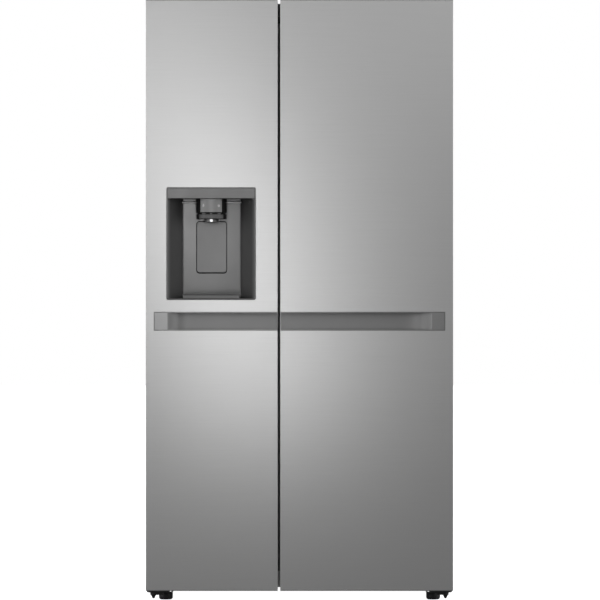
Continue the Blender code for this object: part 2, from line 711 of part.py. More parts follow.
def groove_ramp(door, first_depth):
    """Plan view of the groove's outer end, from first_depth: an eased ramp, then a gentle slope to full depth."""
    points, start = [], GROOVE_END - GROOVE_FLAT
    for step in range(11):
        share = step / 10
        depth = GROOVE_STEP * (1 - math.cos(math.pi * share)) / 2
        if depth >= first_depth:
            points.append((door.side * (start - GROOVE_RAMP * share), FRONT + depth))
    for step in range(1, 7):
        share = step / 6
        depth = GROOVE_STEP + (GROOVE_DEPTH - GROOVE_STEP) * (1 - math.cos(math.pi * share)) / 2
        points.append((door.side * (start - GROOVE_RAMP - GROOVE_SLOPE * share), FRONT + depth))
    return points


def groove_cutters(door):
    """The finger groove: its mouth, and the wider pocket behind the two lips."""
    past_edge = door.free_x - door.side * 0.01
    mouth = [(door.side * (GROOVE_END - GROOVE_FLAT), FRONT - 0.01)] + groove_ramp(door, 0.0005)
    mouth += [(past_edge, FRONT + GROOVE_DEPTH), (past_edge, FRONT - 0.01)]
    pocket = groove_ramp(door, GROOVE_LIP)
    pocket = [(pocket[0][0], FRONT + GROOVE_LIP)] + pocket[1:]
    pocket += [(past_edge, FRONT + GROOVE_DEPTH), (past_edge, FRONT + GROOVE_LIP)]
    return (
        prism(door.name + "_groove_mouth", mouth, "z", grown(GROOVE_Z, -0.001)),
        prism(door.name + "_groove_pocket", pocket, "z", grown(GROOVE_Z, GROOVE_UNDERCUT)),
    )


def door_handle(door):
    """Handle channel let into the door, open at the door's free edge."""
    x = ordered(door.side * (GROOVE_END + 0.001), door.free_x + door.side * 0.0018)
    channel = box(
        door.name + "_handle", x, (FRONT + SHEET + GAP, FRONT + GROOVE_DEPTH + 0.004), grown(GROOVE_Z, 0.010),
        HANDLE,
    )
    free_corner = lambda a, b: along("z")(a, b) and a.y < FRONT + 0.01 and abs(a.x - door.free_x) < 0.01
    round_edges(channel, 0.0035, 2, free_corner)
    face_x = ordered(door.side * (GROOVE_END - 0.0005), x[0] if door.side > 0 else x[1])
    face = box(door.name + "_handle_face", face_x, (FRONT + 0.0003, FRONT + 0.002), GROOVE_Z)
    join(channel, face)
    return cut(channel, *groove_cutters(door))


def handle_opening(door):
    x = ordered(door.side * GROOVE_END, door.free_x - door.side * 0.01)
    return box(door.name + "_skin_groove", x, (FRONT - 0.01, FRONT + 0.040), grown(GROOVE_Z, 0.0005))


def door_skin(door):
    """Brushed steel folded round the front and both sides of the door."""
    skin = box(door.name + "_skin", door.x, (FRONT, SKIN_BACK), (DOOR_BOTTOM, HEIGHT), STEEL)
    front_corner = lambda a, b: along("z")(a, b) and a.y < FRONT + 0.001
    round_edges(skin, SKIN_RADIUS, 3, front_corner)
    inside = box(
        door.name + "_skin_inside",
        grown(door.x, -SHEET),
        (FRONT + SHEET, SKIN_BACK + 0.02),
        (DOOR_BOTTOM - 0.02, HEIGHT + 0.02),
    )
    round_edges(inside, SKIN_RADIUS - SHEET, 3, lambda a, b: along("z")(a, b) and a.y < FRONT + 0.01)
    return cut(skin, inside, handle_opening(door), hinge_notch(door, "skin", 0.0))


def hinge_notch(door, use, grow):
    """The lowered corner of the door's top that leaves room for the hinge plate."""
    x = ordered(door.outer_x + door.side * 0.02, door.outer_x - door.side * (NOTCH_WIDTH + grow))
    y, z = (NOTCH_FRONT, DOOR_BACK + 0.02), (HEIGHT - NOTCH_DEPTH, HEIGHT + 0.02)
    return box(f"{door.name}_{use}_notch", x, y, z)


def door_core(door, bin_levels):
    """Foamed body of the door with its end caps, inner panel, dykes and bin lugs."""
    slab_x = grown(door.x, -SHEET - GAP)
    slab_y, slab_z = (FRONT + SHEET + GAP, DOOR_BACK), grown((DOOR_BOTTOM, HEIGHT), -0.0002)
    core = box(door.name + "_core", slab_x, slab_y, slab_z, DOOR_INNER)
    front_corner = lambda a, b: along("z")(a, b) and a.y < FRONT + 0.01
    round_edges(core, SKIN_RADIUS - SHEET, 3, front_corner)
    dyke = box(door.name + "_dyke", door.dyke_x, (DOOR_BACK - 0.0025, DYKE_BACK), DYKE_Z)
    well_y, well_z = (PANEL_BACK, DYKE_BACK + 0.01), grown(DYKE_Z, -DYKE_WIDTH)
    well = box(door.name + "_dyke_well", door.between_x, well_y, well_z)
    cut(join(core, dyke), well)
    lugs = []
    for level in bin_levels:
        for x in (
            (door.between_x[0] - 0.002, door.between_x[0] + 0.010),
            (door.between_x[1] - 0.010, door.between_x[1] + 0.002),
        ):
            lugs.append((x, (PANEL_BACK - 0.002, DYKE_BACK - 0.004), (level - 0.010, level - GAP)))
    join(core, boxes(door.name + "_lugs", lugs))
    groove_bed = ordered(door.side * (GROOVE_END + 0.0015), door.free_x - door.side * 0.01)
    bed = box(
        door.name + "_groove_bed", groove_bed, (FRONT - 0.01, FRONT + GROOVE_DEPTH + 0.0043),
        grown(GROOVE_Z, 0.0103),
    )
    cut(core, bed, hinge_notch(door, "core", 0.0005))
    hole = PIN_RADIUS + PIN_CLEARANCE
    for end, z in (("top", CASE_TOP - 0.0115), ("bottom", 0.046)):
        cut(core, cylinder(f"{door.name}_{end}_pin_hole", hole, (door.pivot_x, PIVOT_Y, z), (0, 0, 1), 0.033))
    return core


def door_gasket(door):
    y = (DOOR_BACK + GAP, CASE_FRONT - 0.001)
    ring = box(door.name + "_gasket", door.gasket_x, y, GASKET_Z, RUBBER)
    through = (y[0] - 0.01, y[1] + 0.01)
    hole_x, hole_z = grown(door.gasket_x, -GASKET_WIDTH), grown(GASKET_Z, -GASKET_WIDTH)
    hole = box(door.name + "_gasket_hole", hole_x, through, hole_z)
    return cut(ring, hole)


# ---------------------------------------------------------------- dispenser and ice
CHUTE_X = (DISPENSER_MID - 0.025, DISPENSER_MID + 0.025)
ICE_BIN_Z = (1.276, 1.490)
BUMP_Z = (0.860, 1.265)


def dispenser_bump(door):
    """Extra insulation behind the dispenser, standing off the freezer door's inner panel."""
    return box("dispenser_bump", grown(door.between_x, 0.010), (PANEL_BACK - 0.003, FRONT + 0.1425), BUMP_Z)


def dispenser_bed():
    housing = (grown(DISPENSER_X, GAP), (FRONT - 0.01, RECESS_BACK + 0.0033), grown(DISPENSER_Z, GAP))
    cavity = (
        grown(PADDLE_X, 0.005 + GAP),
        (RECESS_BACK, CAVITY_BACK + GAP),
        grown(PADDLE_Z, 0.0085 + GAP),
    )
    return box("dispenser_bed", *housing), box("paddle_bed", *cavity)


def ice_duct():
    """Sloping duct from the floor of the ice bin to the top of the dispenser."""
    outline = [
        (FRONT + 0.0525, DISPENSER_Z[1] - 0.01),
        (FRONT + 0.0825, DISPENSER_Z[1] - 0.01),
        (FRONT + 0.1400, BUMP_Z[1] + 0.001),
        (FRONT + 0.1100, BUMP_Z[1] + 0.001),
    ]
    return prism("ice_duct", outline, "x", CHUTE_X)


def dispenser_housing():
    """Moulded niche: slanted side walls, a flat back with the paddle's window, and a floor for the tray."""
    housing = box("dispenser_housing", DISPENSER_X, (FRONT, RECESS_BACK + 0.003), DISPENSER_Z, DARK)
    round_edges(housing, 0.005, 3, along("y"))
    shell_y, shell_z = (RECESS_BACK + 0.001, CAVITY_BACK), grown(PADDLE_Z, 0.0085)
    cavity_shell = box("paddle_box", grown(PADDLE_X, 0.005), shell_y, shell_z)
    join(housing, cavity_shell)
    mouth_x = grown(DISPENSER_X, -RIM)
    plan = [
        (mouth_x[0], FRONT - 0.01),
        (mouth_x[1], FRONT - 0.01),
        (mouth_x[1], FRONT + 0.004),
        (RECESS_BACK_X[1], RECESS_BACK),
        (RECESS_BACK_X[0], RECESS_BACK),
        (mouth_x[0], FRONT + 0.004),
    ]
    niche = prism("dispenser_niche", plan, "z", RECESS_Z)
    bed_y, window_y = (FRONT - 0.01, FRONT + 0.0133), (RECESS_BACK - 0.01, CAVITY_BACK - 0.0015)
    fascia_bed = box("fascia_bed", grown(DISPENSER_X, -0.003), bed_y, (1.195, 1.2301))
    window = box("paddle_window", grown(PADDLE_X, 0.0015), window_y, grown(PADDLE_Z, 0.0015))
    chute = box("housing_chute", CHUTE_X, (FRONT + 0.0525, FRONT + 0.0800), (RECESS_Z[1] - 0.01, 1.25))
    return cut(housing, niche, fascia_bed, window, chute)


def dispenser_fascia():
    z = (RECESS_Z[1] + GAP, 1.2298)
    plate = box("dispenser_fascia", grown(DISPENSER_X, -0.0033), (FRONT, FRONT + 0.013), z, DARK)
    return round_edges(plate, 0.0015, 2, lambda a, b: a.y < FRONT + 0.001 and b.y < FRONT + 0.001)


def dispenser_head():
    """Round outlet under the niche's ceiling, cut flat at the back, with the ice funnel below it."""
    top, waist, lower, mouth = RECESS_Z[1] - GAP, 1.1600, 1.1559, 1.1402
    profile = [
        (0, top), (HEAD_RADIUS, top), (HEAD_RADIUS, waist), (HEAD_RADIUS - 0.0030, waist),
        (HEAD_RADIUS - 0.0030, lower), (HEAD_RADIUS - 0.0014, lower), (HEAD_RADIUS - 0.0014, mouth),
        (0, mouth),
    ]
    head = turned("dispenser_head", profile, (DISPENSER_MID, HEAD_Y, 0), (0, 0, 1), GLOSS_BLACK, steps=48)
    ice_y = HEAD_Y + 0.008
    funnel = cylinder("ice_funnel", 0.0200, (DISPENSER_MID, ice_y, mouth - 0.0045), (0, 0, 1), 0.011)
    back_cut = box("head_back", (-0.4, -0.1), (RECESS_BACK - GAP, RECESS_BACK + 0.1), (1.0, 1.3))
    bore = cylinder("ice_bore", 0.0170, (DISPENSER_MID, ice_y, 1.16), (0, 0, 1), 0.12)
    water = cylinder("water_bore", 0.0068, (DISPENSER_MID, HEAD_Y - 0.0205, mouth), (0, 0, 1), 0.024)
    return cut(join(head, funnel), back_cut, bore, water)


def water_nozzle():
    profile = [(0, 1.1508), (0.0063, 1.1508), (0.0063, 1.1320), (0.0050, 1.1290), (0, 1.1290)]
    return turned("water_nozzle", profile, (DISPENSER_MID, HEAD_Y - 0.0205, 0), (0, 0, 1), CLEAR, steps=16)


def dispenser_paddle():
    z = PADDLE_Z
    pad = box("dispenser_paddle", PADDLE_X, (RECESS_BACK, RECESS_BACK + PADDLE_THICKNESS), z, DARK)
    return round_edges(pad, 0.006, 3, along("y"))


def drip_tray():
    """Shallow tray with a slotted top."""
    x, y = grown(RECESS_BACK_X, -0.0005), (FRONT + 0.0035, RECESS_BACK - 0.001)
    z = (RECESS_Z[0] + GAP, RECESS_Z[0] + 0.0110)
    tray = box("drip_tray", x, y, z, DARK)
    slots = []
    for row in range(9):
        low = y[0] + 0.006 + row * 0.0072
        slots.append((grown(x, -0.008), (low, low + 0.0042), (z[0] + 0.002, z[1] + 0.01)))
    return cut(tray, boxes("tray_slots", slots))


def ice_maker(door):
    y = (PANEL_BACK + 0.0005, BIN_BACK)
    body = box("ice_maker", door.bin_x, y, (ICE_BIN_Z[1] + 0.006, 1.668), WHITE)
    return round_edges(body, 0.008, 2, lambda a, b: a.y > BIN_BACK - 0.001 and b.y > BIN_BACK - 0.001)


def ice_bin(door):
    store = door_bin("ice_bin", door.bin_x, BIN_BACK, ICE_BIN_Z)
    outlet_z = (ICE_BIN_Z[0] - 0.01, ICE_BIN_Z[0] + 0.01)
    outlet = box("ice_outlet", CHUTE_X, (FRONT + 0.112, FRONT + 0.142), outlet_z)
    return cut(store, outlet)


# ---------------------------------------------------------------- assembly
def build_cabinet():
    cabinet_wrap()
    back_panel()
    insulation()
    liner("freezer_liner", FREEZER_X, FREEZER_SHELVES, DUCT_COVER_Y - 0.004)
    liner("fridge_liner", FRIDGE_X, FRIDGE_SHELVES, 0.230)
    centre_mullion()
    base_frame()
    for side, sign in (("left", -1), ("right", 1)):
        hinge_cover(side, sign)
        top_hinge(side, sign)
        bottom_hinge(side, sign)
        levelling_foot(side, sign)
        rear_roller(side, sign)
    compressor()
    condenser_rows = [0.105 + 0.0262 * row for row in range(7)]
    serpentine("condenser", (-0.385, -0.075), condenser_rows, FAN_Y, 0.004, CIRCUIT)
    condenser_fan_frame()
    fan("condenser_fan", (0.012, FAN_Y, FAN_Z), (1, 0, 0), 0.064, 0.020)
    open_tray("drain_pan", (-0.420, -0.045), (0.150, 0.335), (0.0530, 0.0830), WALL, BLACK)
    machine_room_cover()
    control_box()
    evaporator_rows = [0.450 + 0.046 * row for row in range(11)]
    serpentine("evaporator", (-0.352, -0.139), evaporator_rows, 0.239, 0.005, ALUMINIUM)
    fan("evaporator_fan", EVAPORATOR_FAN, (0, 1, 0), 0.048, 0.018)
    freezer_duct_cover()
    fridge_duct_cover()
    for number, z in enumerate(FREEZER_SHELVES, 1):
        shelf(f"freezer_shelf_{number}", FREEZER_X, DUCT_COVER_Y - 0.003, z)
    for number, z in enumerate(FRIDGE_SHELVES, 1):
        shelf(f"fridge_shelf_{number}", FRIDGE_X, 0.235, z)
    for name, room in (("freezer_drawer", FREEZER_X), ("crisper", FRIDGE_X)):
        drawer(name + "_lower", room, LOWER_DRAWER_BACK, LOWER_DRAWER_Z)
        drawer(name + "_upper", room, UPPER_DRAWER_BACK, UPPER_DRAWER_Z)
    lamp = box("fridge_lamp", (0.105, 0.265), (-0.180, -0.040), (ROOM_Z[1] - 0.009, ROOM_Z[1] - GAP), CLEAR)
    round_edges(lamp, 0.003, 2, lambda a, b: a.z < ROOM_Z[1] - 0.005 and b.z < ROOM_Z[1] - 0.005)


def build_freezer_door():
    door = Door("freezer_door", -1, FREEZER_X)
    swing = joint_empty("freezer_door_axis", (door.pivot_x, PIVOT_Y, 0))
    skin = door_skin(door)
    opening_y = (FRONT - 0.01, FRONT + 0.02)
    cut(skin, box("skin_dispenser", grown(DISPENSER_X, GAP), opening_y, grown(DISPENSER_Z, GAP)))
    core = door_core(door, (0.140, 0.600))
    join(core, dispenser_bump(door))
    cut(core, *dispenser_bed(), ice_duct())
    riders = [
        skin,
        core,
        door_handle(door),
        door_gasket(door),
        dispenser_housing(),
        dispenser_fascia(),
        dispenser_head(),
        water_nozzle(),
        ice_maker(door),
        ice_bin(door),
        door_bin("freezer_door_bin_lower", door.bin_x, SHALLOW_BIN_BACK, (0.140, 0.260)),
        door_bin("freezer_door_bin_upper", door.bin_x, BIN_BACK, (0.600, 0.740)),
        drip_tray(),
    ]
    for rider in riders:
        attach(rider, swing)
    hinge_z = PADDLE_Z[1] - 0.0046
    paddle_axis = joint_empty("paddle_axis", (DISPENSER_MID, RECESS_BACK + 0.002, hinge_z), swing)
    attach(dispenser_paddle(), paddle_axis)


def build_fridge_door():
    door = Door("fridge_door", 1, FRIDGE_X)
    swing = joint_empty("fridge_door_axis", (door.pivot_x, PIVOT_Y, 0))
    levels = (0.140, 0.620, 0.980, 1.340)
    riders = [door_skin(door), door_core(door, levels), door_handle(door), door_gasket(door)]
    for number, level in enumerate(levels, 1):
        back = SHALLOW_BIN_BACK if number == 1 else BIN_BACK
        riders.append(door_bin(f"fridge_door_bin_{number}", door.bin_x, back, (level, level + 0.130)))
    for rider in riders:
        attach(rider, swing)


build_cabinet()
build_freezer_door()
build_fridge_door()
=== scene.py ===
"""Looks of a side by side refrigerator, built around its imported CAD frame.

Units are metres, +Z is up and the doors face -Y.
"""

import json
import math

import bmesh
import bpy
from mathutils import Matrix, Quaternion, Vector

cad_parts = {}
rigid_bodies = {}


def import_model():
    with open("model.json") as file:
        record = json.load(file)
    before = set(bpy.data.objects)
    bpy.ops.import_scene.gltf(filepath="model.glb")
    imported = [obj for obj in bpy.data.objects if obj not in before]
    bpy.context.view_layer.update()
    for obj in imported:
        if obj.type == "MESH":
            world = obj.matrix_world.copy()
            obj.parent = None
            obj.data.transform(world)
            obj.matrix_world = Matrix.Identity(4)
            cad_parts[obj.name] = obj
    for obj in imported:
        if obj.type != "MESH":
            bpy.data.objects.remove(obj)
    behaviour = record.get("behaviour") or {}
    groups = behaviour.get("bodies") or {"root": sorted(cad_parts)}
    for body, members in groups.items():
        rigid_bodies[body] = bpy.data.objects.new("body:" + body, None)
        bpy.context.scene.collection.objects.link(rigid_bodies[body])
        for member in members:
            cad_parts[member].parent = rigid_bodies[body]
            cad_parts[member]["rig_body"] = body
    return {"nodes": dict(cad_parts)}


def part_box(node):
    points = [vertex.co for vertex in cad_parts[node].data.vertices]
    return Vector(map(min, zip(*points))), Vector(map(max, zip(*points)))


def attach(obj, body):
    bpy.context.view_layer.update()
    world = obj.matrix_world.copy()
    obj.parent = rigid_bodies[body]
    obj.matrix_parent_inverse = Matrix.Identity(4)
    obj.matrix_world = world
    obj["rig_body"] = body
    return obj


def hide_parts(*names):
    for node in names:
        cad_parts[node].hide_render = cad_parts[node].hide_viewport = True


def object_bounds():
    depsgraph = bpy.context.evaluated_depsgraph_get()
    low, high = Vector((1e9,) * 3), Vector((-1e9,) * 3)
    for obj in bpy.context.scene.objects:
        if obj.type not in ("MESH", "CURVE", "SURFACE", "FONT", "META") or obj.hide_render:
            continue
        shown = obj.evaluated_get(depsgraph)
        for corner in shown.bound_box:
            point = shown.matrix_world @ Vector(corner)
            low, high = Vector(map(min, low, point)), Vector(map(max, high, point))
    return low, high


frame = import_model()
CAD_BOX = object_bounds()

NODES = frame["nodes"]
FRONT = CAD_BOX[0].y
BODY_OF = {node.name: node["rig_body"] for node in NODES.values()}


# ------------------------------------------------------------------------------------------ node materials
class Tree:
    """Short names for building a material's nodes."""

    def __init__(self, name):
        self.material = bpy.data.materials.new(name)
        self.material.use_nodes = True
        self.nodes, self.links = self.material.node_tree.nodes, self.material.node_tree.links
        self.shader = self.nodes["Principled BSDF"]
        self.place = self.nodes.new("ShaderNodeTexCoord").outputs["Object"]

    def add(self, kind, inputs=None, **settings):
        node = self.nodes.new("ShaderNode" + kind)
        for key, value in settings.items():
            setattr(node, key, value)
        for key, value in (inputs or {}).items():
            if isinstance(value, bpy.types.NodeSocket):
                self.links.new(value, node.inputs[key])
            else:
                node.inputs[key].default_value = value
        return node

    def stretched(self, scale):
        return self.add("Mapping", {"Vector": self.place, "Scale": scale}).outputs["Vector"]

    def noise(self, scale, detail=3.0, stretch=None):
        vector = self.stretched(stretch) if stretch else self.place
        inputs = {"Vector": vector, "Scale": scale, "Detail": detail}
        return self.add("TexNoise", inputs).outputs["Fac"]

    def ranged(self, value, low, high, source=(0.3, 0.7)):
        """The value moved from its source range to the range from low to high."""
        inputs = {"From Min": source[0], "From Max": source[1], "To Min": low, "To Max": high}
        return self.add("MapRange", {"Value": value, **inputs}).outputs["Result"]

    def drift(self, scale, detail=3.0):
        """Soft noise from 0 to 1, which most finishes blend two tones with."""
        return self.ranged(self.noise(scale, detail), 0.0, 1.0)

    def blend(self, factor, a, b):
        node = self.add("Mix", data_type="RGBA")
        for socket, value in ((0, factor), (6, a), (7, b)):
            if isinstance(value, bpy.types.NodeSocket):
                self.links.new(value, node.inputs[socket])
            else:
                node.inputs[socket].default_value = value if socket == 0 else (*value, 1.0)
        return node.outputs[2]

    def feed(self, name, value):
        self.links.new(value, self.shader.inputs[name])

    def bump(self, height, strength, distance):
        node = self.add("Bump", {"Height": height, "Strength": strength, "Distance": distance})
        self.feed("Normal", node.outputs["Normal"])


def shade(colour, by):
    return tuple(min(1.0, channel * by) for channel in colour)


def grey(value, warm=0.0):
    return (value * (1 + warm), value, value * (1 - warm))


def surface(
    name, colour, roughness, metallic=0.0, tint=0.05, scale=6.0, spread=0.05, fine=300.0, bump=0.15,
    depth=0.0001, **sockets
):
    """A finish whose colour and roughness drift a little over the piece, with a fine texture on it."""
    tree = Tree(name)
    shader = tree.shader
    tones = tree.blend(tree.drift(scale, 4.0), shade(colour, 1 - tint), shade(colour, 1 + tint))
    tree.feed("Base Color", tones)
    patches = tree.noise(scale * 2.7)
    tree.feed("Roughness", tree.ranged(patches, roughness - spread, roughness + spread))
    tree.bump(tree.noise(fine, 2.0), bump, depth)
    shader.inputs["Metallic"].default_value = metallic
    for key, value in sockets.items():
        shader.inputs[key.replace("_", " ")].default_value = value
    return tree.material


def brushed_steel():
    """Satin steel with a fine horizontal brush. The thin clear coat that real doors carry against finger
    marks is left out.
    """
    tree = Tree("brushed_steel")
    strokes = tree.noise(5.0, 6.0, (1.2, 1.2, 220.0))
    fine = tree.noise(9.0, 4.0, (2.0, 2.0, 700.0))
    cloud = tree.noise(1.6, 2.0)
    base = tree.blend(tree.ranged(strokes, 0.0, 1.0), grey(0.499), grey(0.526))
    base = tree.blend(tree.ranged(cloud, 0.0, 0.35), base, grey(0.506))
    tree.feed("Base Color", base)
    tree.feed("Roughness", tree.ranged(fine, 0.395, 0.435))
    tree.bump(fine, 0.10, 0.00004)
    tree.shader.inputs["Metallic"].default_value = 1.0
    return tree.material


def galvanised():
    """Zinc coat: crystals about a centimetre wide, each a slightly different grey."""
    tree = Tree("galvanised_sheet")
    cell = tree.add("TexVoronoi", {"Vector": tree.place, "Scale": 110.0, "Randomness": 1.0}, feature="F1")
    split = tree.add("SeparateColor", {"Color": cell.outputs["Color"]}).outputs["Red"]
    tree.feed("Base Color", tree.blend(split, grey(0.545), grey(0.585)))
    tree.feed("Roughness", tree.ranged(split, 0.42, 0.50, (0.0, 1.0)))
    tree.bump(tree.noise(240.0), 0.08, 0.0001)
    tree.shader.inputs["Metallic"].default_value = 1.0
    return tree.material


def clear_plastic(name, colour, roughness=0.06, weight=0.92):
    """Moulded clear plastic: faint flow marks in the surface and a cooler tint here and there."""
    tree = Tree(name)
    tree.feed("Base Color", tree.blend(tree.drift(5.0), colour, shade(colour, 1.04)))
    tree.feed("Roughness", tree.ranged(tree.noise(30.0), roughness, roughness + 0.05))
    tree.bump(tree.noise(14.0, 2.0), 0.05, 0.0004)
    tree.shader.inputs["Transmission Weight"].default_value = weight
    tree.shader.inputs["IOR"].default_value = 1.2
    return tree.material


def door_body():
    """White formed liner at the back of the door, grey moulded end caps on the slab in front of it."""
    tree = Tree("door_body_white_and_grey")
    depth = tree.add("SeparateXYZ", {"Vector": tree.place}).outputs["Y"]
    liner_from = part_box("freezer_door_skin")[1].y - 0.002
    side = tree.ranged(depth, 0.0, 1.0, (liner_from - 0.0004, liner_from + 0.0004))
    drift = tree.drift(5.0)
    white = tree.blend(drift, grey(0.84), grey(0.87))
    cap = tree.blend(drift, grey(0.17), grey(0.20))
    tree.feed("Base Color", tree.blend(side, cap, white))
    tree.feed("Roughness", tree.ranged(tree.noise(18.0), 0.28, 0.38))
    tree.bump(tree.noise(260.0), 0.06, 0.0001)
    return tree.material


def grip_finish_and_painted_shade():
    """Metallised on the face; deeper in, the groove is the bare grey moulding, darker and less metallic,
    which also paints the shade of the recess.
    """
    tree = Tree("grip_grey_and_painted_shade")
    depth = tree.add("SeparateXYZ", {"Vector": tree.place}).outputs["Y"]
    # painted shade: past the face the groove turns darker and less metallic, partly the bare moulding and
    # partly painted shade of the recess
    inside = tree.ranged(depth, 0.0, 1.0, (FRONT + 0.00045, FRONT + 0.0012))
    drift = tree.drift(6.0)
    face = tree.blend(drift, grey(0.290), grey(0.308))
    moulding = tree.blend(drift, grey(0.198), grey(0.214))
    tree.feed("Base Color", tree.blend(inside, face, moulding))
    tree.feed("Metallic", tree.ranged(inside, 1.0, 0.50, (0.0, 1.0)))
    tree.feed("Roughness", tree.ranged(inside, 0.40, 0.48, (0.0, 1.0)))
    tree.bump(tree.noise(800.0), 0.08, 0.00006)
    return tree.material


def niche_wall(name, colour, metallic, fall=0.0, lean=0.0):
    """Satin metallic paint on a flat panel, shaded as if it bowed: downwards by fall, sideways by lean."""
    tree = Tree(name)
    place = tree.add("SeparateXYZ", {"Vector": tree.place}).outputs
    tree.feed("Base Color", tree.blend(tree.drift(9.0), shade(colour, 0.97), shade(colour, 1.03)))
    tree.feed("Roughness", tree.ranged(tree.noise(25.0), 0.42, 0.46))
    low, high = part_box("dispenser_housing")
    down = tree.add("Math", {0: high.z, 1: place["Z"]}, operation="SUBTRACT").outputs[0]
    across = tree.add("Math", {0: place["X"], 1: low.x}, operation="SUBTRACT").outputs[0]
    bow = tree.add("Math", {0: down, 1: down}, operation="MULTIPLY").outputs[0]
    bow = tree.add("Math", {0: bow, 1: fall}, operation="MULTIPLY").outputs[0]
    side = tree.add("Math", {0: across, 1: across}, operation="MULTIPLY").outputs[0]
    side = tree.add("Math", {0: side, 1: lean, 2: bow}, operation="MULTIPLY_ADD").outputs[0]
    tree.bump(side, 1.0, 1.0)
    tree.shader.inputs["Metallic"].default_value = metallic
    return tree.material


def niche_side():
    """Dark moulding of the niche's walls, paler on the rim at the front; the fade from the pale rim to the
    dark walls deeper in is painted light and shade.
    """
    tree = Tree("niche_side_painted_shade")
    depth = tree.add("SeparateXYZ", {"Vector": tree.place}).outputs["Y"]
    # painted shade: the walls go from the pale rim grey to dark over the first 18 mm of depth
    inside = tree.ranged(depth, 0.0, 1.0, (FRONT + 0.0005, FRONT + 0.018))
    wall = tree.blend(tree.drift(7.0), grey(0.058), grey(0.066))
    tree.feed("Base Color", tree.blend(inside, grey(0.160), wall))
    tree.feed("Roughness", tree.ranged(tree.noise(25.0), 0.28, 0.34))
    tree.bump(tree.noise(1100.0), 0.16, 0.00008)
    return tree.material


def foam():
    tree = Tree("polyurethane_foam")
    tree.feed("Base Color", tree.blend(tree.drift(14.0), (0.72, 0.62, 0.34), (0.84, 0.76, 0.48)))
    cell = tree.add("TexVoronoi", {"Vector": tree.place, "Scale": 420.0}).outputs["Distance"]
    tree.bump(cell, 0.5, 0.0006)
    tree.feed("Roughness", tree.ranged(cell, 0.8, 0.95, (0.0, 1.0)))
    return tree.material


def lit_diffuser():
    tree = Tree("lamp_diffuser")
    tree.feed("Base Color", tree.blend(tree.drift(40.0), grey(0.82), grey(0.90)))
    tree.feed("Roughness", tree.ranged(tree.noise(80.0), 0.35, 0.5))
    tree.shader.inputs["Emission Color"].default_value = (1.0, 0.98, 0.94, 1.0)
    tree.shader.inputs["Emission Strength"].default_value = 5.0
    return tree.material


STEEL = brushed_steel()
ZINC = galvanised()
CASE = surface("case_paint", grey(0.235, -0.01), 0.42, tint=0.03, fine=900.0, bump=0.35, depth=0.00012)
WHITE = surface("liner_white", grey(0.86), 0.32, tint=0.01, spread=0.02, fine=200.0, bump=0.02)
WHITE_TRIM = surface("trim_white", grey(0.90), 0.25, tint=0.02, fine=200.0, bump=0.04)
DOOR_BODY = door_body()
CLEAR = clear_plastic("clear_moulding", (0.90, 0.95, 0.96))
GLASS = clear_plastic("shelf_glass", (0.86, 0.94, 0.91), 0.02, 0.95)
FROSTED = clear_plastic("frosted_moulding", (0.88, 0.93, 0.95), 0.30, 0.80)
# painted highlight: the nozzle's emission makes it glow, though it is no lamp
GLOWING_NOZZLE = surface(
    "nozzle_white_painted_glow", grey(0.92), 0.22, tint=0.03, fine=120.0, bump=0.03,
    Emission_Color=(1.0, 1.0, 1.0, 1.0), Emission_Strength=0.7,
)
NICHE = niche_wall("niche_back", grey(0.230), 0.85, -0.23, -0.24)
PAD = niche_wall("paddle_grey", grey(0.180), 0.75, -0.06, 0.0)
NICHE_WALL_SHADE = niche_side()
TRAY = surface("tray_grey", grey(0.098), 0.40, scale=9.0, fine=1100.0, bump=0.20, depth=0.00008)
FASCIA = surface("fascia_grey", grey(0.133), 0.38, 0.55, tint=0.04, fine=900.0, bump=0.10, depth=0.00006)
SILL = surface("sill_charcoal", grey(0.055), 0.42, scale=9.0, fine=1100.0, bump=0.20, depth=0.00008)
GRIP = grip_finish_and_painted_shade()
LEDGE = surface("ledge_silver", grey(0.55), 0.32, 0.9, tint=0.04, bump=0.05)
SATIN_METAL = surface("satin_metal_band", grey(0.235), 0.55, 0.9, tint=0.04, spread=0.03, bump=0.05)
DARK_METAL = surface("dark_metal_ring", grey(0.120), 0.58, 0.8, spread=0.03, bump=0.06)
GLOSS = surface("gloss_black", grey(0.008), 0.10, tint=0.10, spread=0.03, fine=180.0, bump=0.02)
BLACK = surface(
    "textured_black", (0.011, 0.011, 0.014), 0.46, tint=0.12, fine=900.0, bump=0.30, depth=0.00012
)
BLACK_PAINT = surface("black_enamel", grey(0.012), 0.32, tint=0.10, fine=500.0, bump=0.12)
CAP_GREY = surface("end_cap_grey", grey(0.20), 0.40, 0.6, fine=800.0)
GREY_PLASTIC = surface("moulded_grey", grey(0.13), 0.42, tint=0.06, fine=800.0, bump=0.22)
RUBBER = surface("seal_grey_rubber", grey(0.060), 0.72, tint=0.08, fine=700.0, bump=0.25)
ALUMINIUM = surface("rolled_aluminium", grey(0.66), 0.34, 1.0, tint=0.06, fine=400.0, bump=0.10)
ICON = surface("printed_light_grey", grey(0.40), 0.45, tint=0.04, fine=500.0, bump=0.05)
FOAM = foam()
DIFFUSER = lit_diffuser()


# ------------------------------------------------------------------------------------------ shape tools
def put(name, mesh, material, body, replaces=(), bevel=0.0, segments=2, angle=40.0):
    """A finished piece: smooth shading, rounded edges, its finish, and the body that it rides on."""
    obj = bpy.data.objects.new(name, mesh)
    bpy.context.scene.collection.objects.link(obj)
    mesh.materials.clear()
    mesh.materials.append(material)
    round_off(obj, bevel, segments, angle)
    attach(obj, body)
    if replaces:
        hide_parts(*replaces)


def add_bevel(obj, width, segments=2, angle=40.0):
    edge = obj.modifiers.new("rounded_edges", "BEVEL")
    edge.width, edge.segments = width, segments
    edge.limit_method, edge.angle_limit = "ANGLE", math.radians(angle)
    return edge


